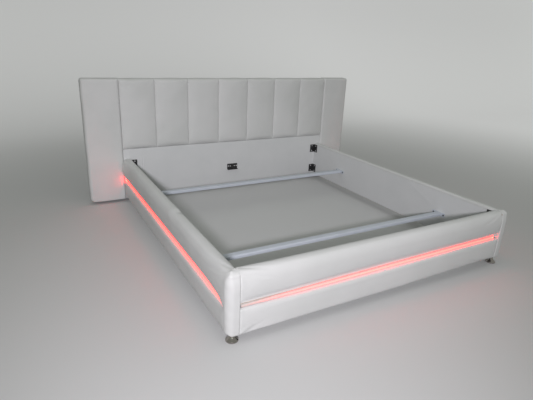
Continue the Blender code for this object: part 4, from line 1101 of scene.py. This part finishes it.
legs = angle_outline(BRACKET_LEG, BRACKET_LEG, BRACKET_BEND, -BRACKET_THICK)
for end, end_y, inward in BAY_ENDS:
    for side, word in SIDES:
        for base, level in BRACKET_BASES:
            def corner(out, down, height):
                """From the bay's corner inwards along the end, inwards along the rail, up."""
                return points_of(side * (RAIL_FACE - BRACKET_PLAY - out),
                                 end_y + inward * (BRACKET_PLAY + down), height)

            node = f"bracket_{end}_{word}_{level}"
            plate(f"corner_{node}", node, legs, (base, base + BRACKET_HEIGHT), corner,
                  black_steel, "black_steel", BRACKET_EDGE)
            places, heads = [], []
            for rise in (-SCREW_PITCH / 2, SCREW_PITCH / 2):
                height = base + BRACKET_HEIGHT / 2 + rise
                places += [corner(SCREW_OUT, BRACKET_THICK, height),
                           corner(BRACKET_THICK, SCREW_OUT, height)]
                heads += [(0, inward, 0), (-side, 0, 0)]
            screws(f"screws_{node}", node, places, heads, steel_wire, "zinc")

HANGER_HALF = 0.050
HANGER_LOW = 0.181
HANGER_HIGH = 0.233
HANGER_LEDGE = 0.024
HANGER_SCREWS = (-0.040, -0.021, 0.021, 0.040)
HANGER_SCREW_HEIGHT = 0.211

legs = angle_outline(HANGER_LEDGE, HANGER_HIGH - HANGER_LOW, BRACKET_BEND, -BRACKET_THICK)
for end, end_y, inward in BAY_ENDS:
    def hanger_place(out, rise, across):
        """Out from the board, up from the ledge, and across the bed."""
        return points_of(across, end_y + inward * (BRACKET_PLAY + out), HANGER_LOW + rise)

    node = f"beam_hanger_{end}"
    plate(node + "_angle", node, legs, (-HANGER_HALF, HANGER_HALF), hanger_place, black_steel,
          "black_steel", BRACKET_EDGE)
    places = [hanger_place(BRACKET_THICK, HANGER_SCREW_HEIGHT - HANGER_LOW, x)
              for x in HANGER_SCREWS]
    screws(f"screws_{node}", node, places, [(0, inward, 0)] * 4, steel_wire, "zinc")


# Two cross bars of folded steel angle, powder coated white, hang between the rails on welded
# end plates, each bolted to the core through the lining, and carry the slats of a base.
BAR_FACES = (("head", 0.5337), ("foot", -0.6263))
BAR_TOP = 0.200
BAR_HALF = 0.9072
BAR_FLANGE = 0.040
BAR_DEPTH = 0.022
BAR_WALL = 0.0025
BAR_BEND = 0.004
BAR_EDGE = 0.0005
PLATE_BACK = 0.030
PLATE_HALF = 0.055
PLATE_CORNER = 0.004
PLATE_LOW = 0.170
PLATE_HIGH = 0.2003
PLATE_OUT = 0.9097
BOLT_HALF = 0.044
BOLT_HEIGHT = 0.185
BOLT_HEAD = 0.0062
BOLT_RISE = 0.0036
WELD = 0.0022
WELD_START = 0.004
WELD_GAP = 0.003
WELD_SINK = 0.0006

white_steel = new_material("white_powder_coat", (0.58, 0.63, 0.70), 0.36)
coat_place = object_place(white_steel)
mottle(white_steel, "Base Color", coat_place, 14.0, [
    (0.3, (0.53, 0.57, 0.63)), (0.7, (0.57, 0.61, 0.67))], 3)
emboss(white_steel, (noise(white_steel, coat_place, 700.0, 2), 0.25, 0.0003))

legs = angle_outline(BAR_FLANGE, -BAR_DEPTH, BAR_BEND, BAR_WALL)
for end, face in BAR_FACES:
    def bar_place(back, rise, across):
        """Back from the bar's front face, up from its top, and across the bed."""
        return points_of(across, face + back, BAR_TOP + rise)

    node = f"crossbar_{end}"
    plate(node + "_angle", node, legs, (-BAR_HALF, BAR_HALF), bar_place, white_steel,
          "white_steel", BAR_EDGE)
    middle = face + PLATE_BACK
    run = np.linspace(WELD_START, BAR_FLANGE - WELD_GAP, 9)
    drop = np.linspace(WELD_START, BAR_DEPTH - WELD_GAP, 7)
    places, heads, beads = [], [], []
    for side, word in SIDES:
        outline = rounded([
            (0, PLATE_LOW, 0), (PLATE_HALF, PLATE_LOW, PLATE_CORNER),
            (PLATE_HALF, PLATE_HIGH, PLATE_CORNER), (-PLATE_HALF, PLATE_HIGH, PLATE_CORNER),
            (-PLATE_HALF, PLATE_LOW, PLATE_CORNER), (0, PLATE_LOW, 0)], 0.02)[:-1]
        plate(f"{node}_plate_{word}", node, outline, (BAR_HALF, PLATE_OUT),
              lambda along, up, out: points_of(side * out, middle + along, up), white_steel,
              "white_steel", BAR_EDGE)
        for offset in (-BOLT_HALF, BOLT_HALF):
            places.append((side * BAR_HALF, middle + offset, BOLT_HEIGHT))
            heads.append((-side, 0, 0))
        tip = side * (BAR_HALF - WELD_SINK)
        beads += [(tip, face + y, BAR_TOP - BAR_WALL) for y in run]
        beads += [(tip, face + BAR_WALL, BAR_TOP - z) for z in drop]
    screws(f"bolts_{node}", node, places, heads, black_steel, "black_steel", BOLT_HEAD,
           BOLT_RISE)
    weld = boxes(f"{node}_weld", beads, WELD, white_steel)
    put(weld.modifiers.new("Subdivision", "SUBSURF"), levels=2, render_levels=2)
    enrol(weld, "white_steel", node)


# Each foot is a turned and chromed steel glide under a foot corner, on a threaded stud that
# screws in and out of a zinc-plated insert in the core to level the bed.
FOOT_SIDE = 0.935
FOOT_BACK = -1.0403
FOOT_SPOKES = 64
FOOT_TURNING = [
    (0.0, 0.0, 0), (0.0270, 0.0, 0.002), (0.0310, 0.0030, 0.003), (0.0308, 0.0085, 0.004),
    (0.0235, 0.0145, 0.009), (0.0165, 0.0215, 0.010), (0.0110, 0.0310, 0.006),
    (0.0110, 0.0400, 0.001), (0.0180, 0.0407, 0.0012), (0.0180, 0.0447, 0.0012),
    (0.0037, 0.0447, 0.0005), (0.0037, 0.0687, 0.0006), (0.0, 0.0687, 0)]

# The chrome's base colour is darker and browner than bright chrome: a painted reflection of a dark
# room round the feet. Its roughness varies at random.
chrome = new_material("chrome_with_painted_dark_reflection", (0.38, 0.35, 0.33), 0.09, Metallic=1.0)
mottle(chrome, "Roughness", object_place(chrome), 160.0, [(0.35, 0.05), (0.75, 0.16)], 4)


def turn_round(name, profile, x, y, material):
    """A turned piece: its half profile of (radius, height) spun about an upright axis. Its
    first and last points are on the axis."""
    half = rounded(profile, 0.0015)
    angle = np.linspace(0, 2 * math.pi, FOOT_SPOKES, endpoint=False)
    radius, height = half[1:-1].T[..., None]
    rings = points_of(x + radius * np.cos(angle), y + radius * np.sin(angle), height)
    points = [*rings.reshape(-1, 3), (x, y, half[0, 1]), (x, y, half[-1, 1])]
    return build(name, points, ring_faces(len(rings), FOOT_SPOKES), material)


for side, word in SIDES:
    foot = turn_round(f"{word}_chrome_foot", FOOT_TURNING, side * FOOT_SIDE, FOOT_BACK, chrome)
    enrol(foot, "chrome", f"{word}_foot", body=f"{word}_foot_body")
finish_nodes(steel_wire, "left_foot_insert", "right_foot_insert")


# Hidden fittings: four plastic glides under the headboard, and the box that feeds the lamps,
# with its lead and the round inlet that shows through the black cloth at the back.
black_plastic = new_material("black_plastic", (0.018, 0.018, 0.019), 0.38)
plastic_place = object_place(black_plastic)
mottle(black_plastic, "Roughness", plastic_place, 120.0, [(0.3, 0.34), (0.7, 0.48)], 3)
emboss(black_plastic, (noise(black_plastic, plastic_place, 1500.0, 2), 0.3, 0.0002))
finish_nodes(black_plastic, "light_controller", "light_lead",
             *(f"headboard_glide_{place}" for place in range(1, 5)))


# A plain pale studio: a floor that curves up into a wall, one wide soft lamp beside the
# camera that fades towards the rim of its cone, and even light from all round.
FLOOR_COVE = [(-9.0, 0, 0), (5.5, 0, 2.0), (5.5, 7.0, 0)]
FLOOR_HALF = 12.0
FLOOR_TONE = 0.60
FLOOR_BOUNCE = 0.20
FLOOR_FILL = 0.34
FILL_NEAR = 1.5
FILL_FAR = 7.0
WORLD_COLOUR = (0.955, 1.0, 0.935, 1.0)
WORLD_STRENGTH = 0.39
LAMP_PLACE = (-2.22, -3.66, 1.66)
LAMP_YAW = 0.505
LAMP_PITCH = 0.33
LAMP_CONE = 70.0
LAMP_RADIUS = 0.15
LAMP_COLOUR = (0.97, 0.94, 1.0)
LAMP_POWER = 440.0

floor_material = new_material("studio_floor", (FLOOR_TONE,) * 3, 0.9)
sight = add_node(floor_material, "ShaderNodeLightPath", {}).outputs
seen = add_node(floor_material, "ShaderNodeMath", {
    0: sight["Is Camera Ray"], 1: sight["Is Glossy Ray"]}, operation="MAXIMUM").outputs[0]
seen = add_node(floor_material, "ShaderNodeMath", {
    0: seen, 1: sight["Is Transmission Ray"]}, operation="MAXIMUM").outputs[0]
paint(floor_material, "Base Color", ramp(floor_material, seen, [
    (0.0, FLOOR_BOUNCE), (1.0, FLOOR_TONE)]))
mottle(floor_material, "Roughness", object_place(floor_material), 2.0, [
    (0.3, 0.86), (0.7, 0.94)])
reach = add_node(floor_material, "ShaderNodeVectorMath", {
    "Vector": object_place(floor_material)}, operation="LENGTH").outputs["Value"]
far = span(floor_material, reach, FILL_NEAR, FILL_FAR, 0.0, FLOOR_FILL,
           interpolation_type="SMOOTHSTEP")
paint(floor_material, "Emission Strength", add_node(floor_material, "ShaderNodeMath", {
    0: far, 1: seen}, operation="MULTIPLY").outputs[0])
floor_material.node_tree.nodes["Principled BSDF"].inputs[
    "Emission Color"].default_value = (1.0, 1.0, 1.0, 1.0)
cove = rounded(FLOOR_COVE, 0.4)
floor_points = points_of(np.linspace(-FLOOR_HALF, FLOOR_HALF, 25)[:, None], *cove.T)
floor = build("studio_floor", floor_points.reshape(-1, 3), quads(25, len(cove)).tolist(),
              floor_material)

lamp = link("studio_lamp", put(
    bpy.data.lights.new("studio_lamp", "SPOT"), spot_size=math.radians(LAMP_CONE),
    spot_blend=1.0, shadow_soft_size=LAMP_RADIUS, energy=LAMP_POWER, color=LAMP_COLOUR))
lamp.visible_camera = False
lamp.matrix_world = camera_matrix(LAMP_PLACE, LAMP_YAW, LAMP_PITCH, 0.0).T.tolist()

scene.world = put(bpy.data.worlds.new("studio_world"), use_nodes=True)
background = scene.world.node_tree.nodes["Background"].inputs
background["Color"].default_value = WORLD_COLOUR
background["Strength"].default_value = WORLD_STRENGTH
scene.view_settings.view_transform = "Standard"

bpy.context.view_layer.update()
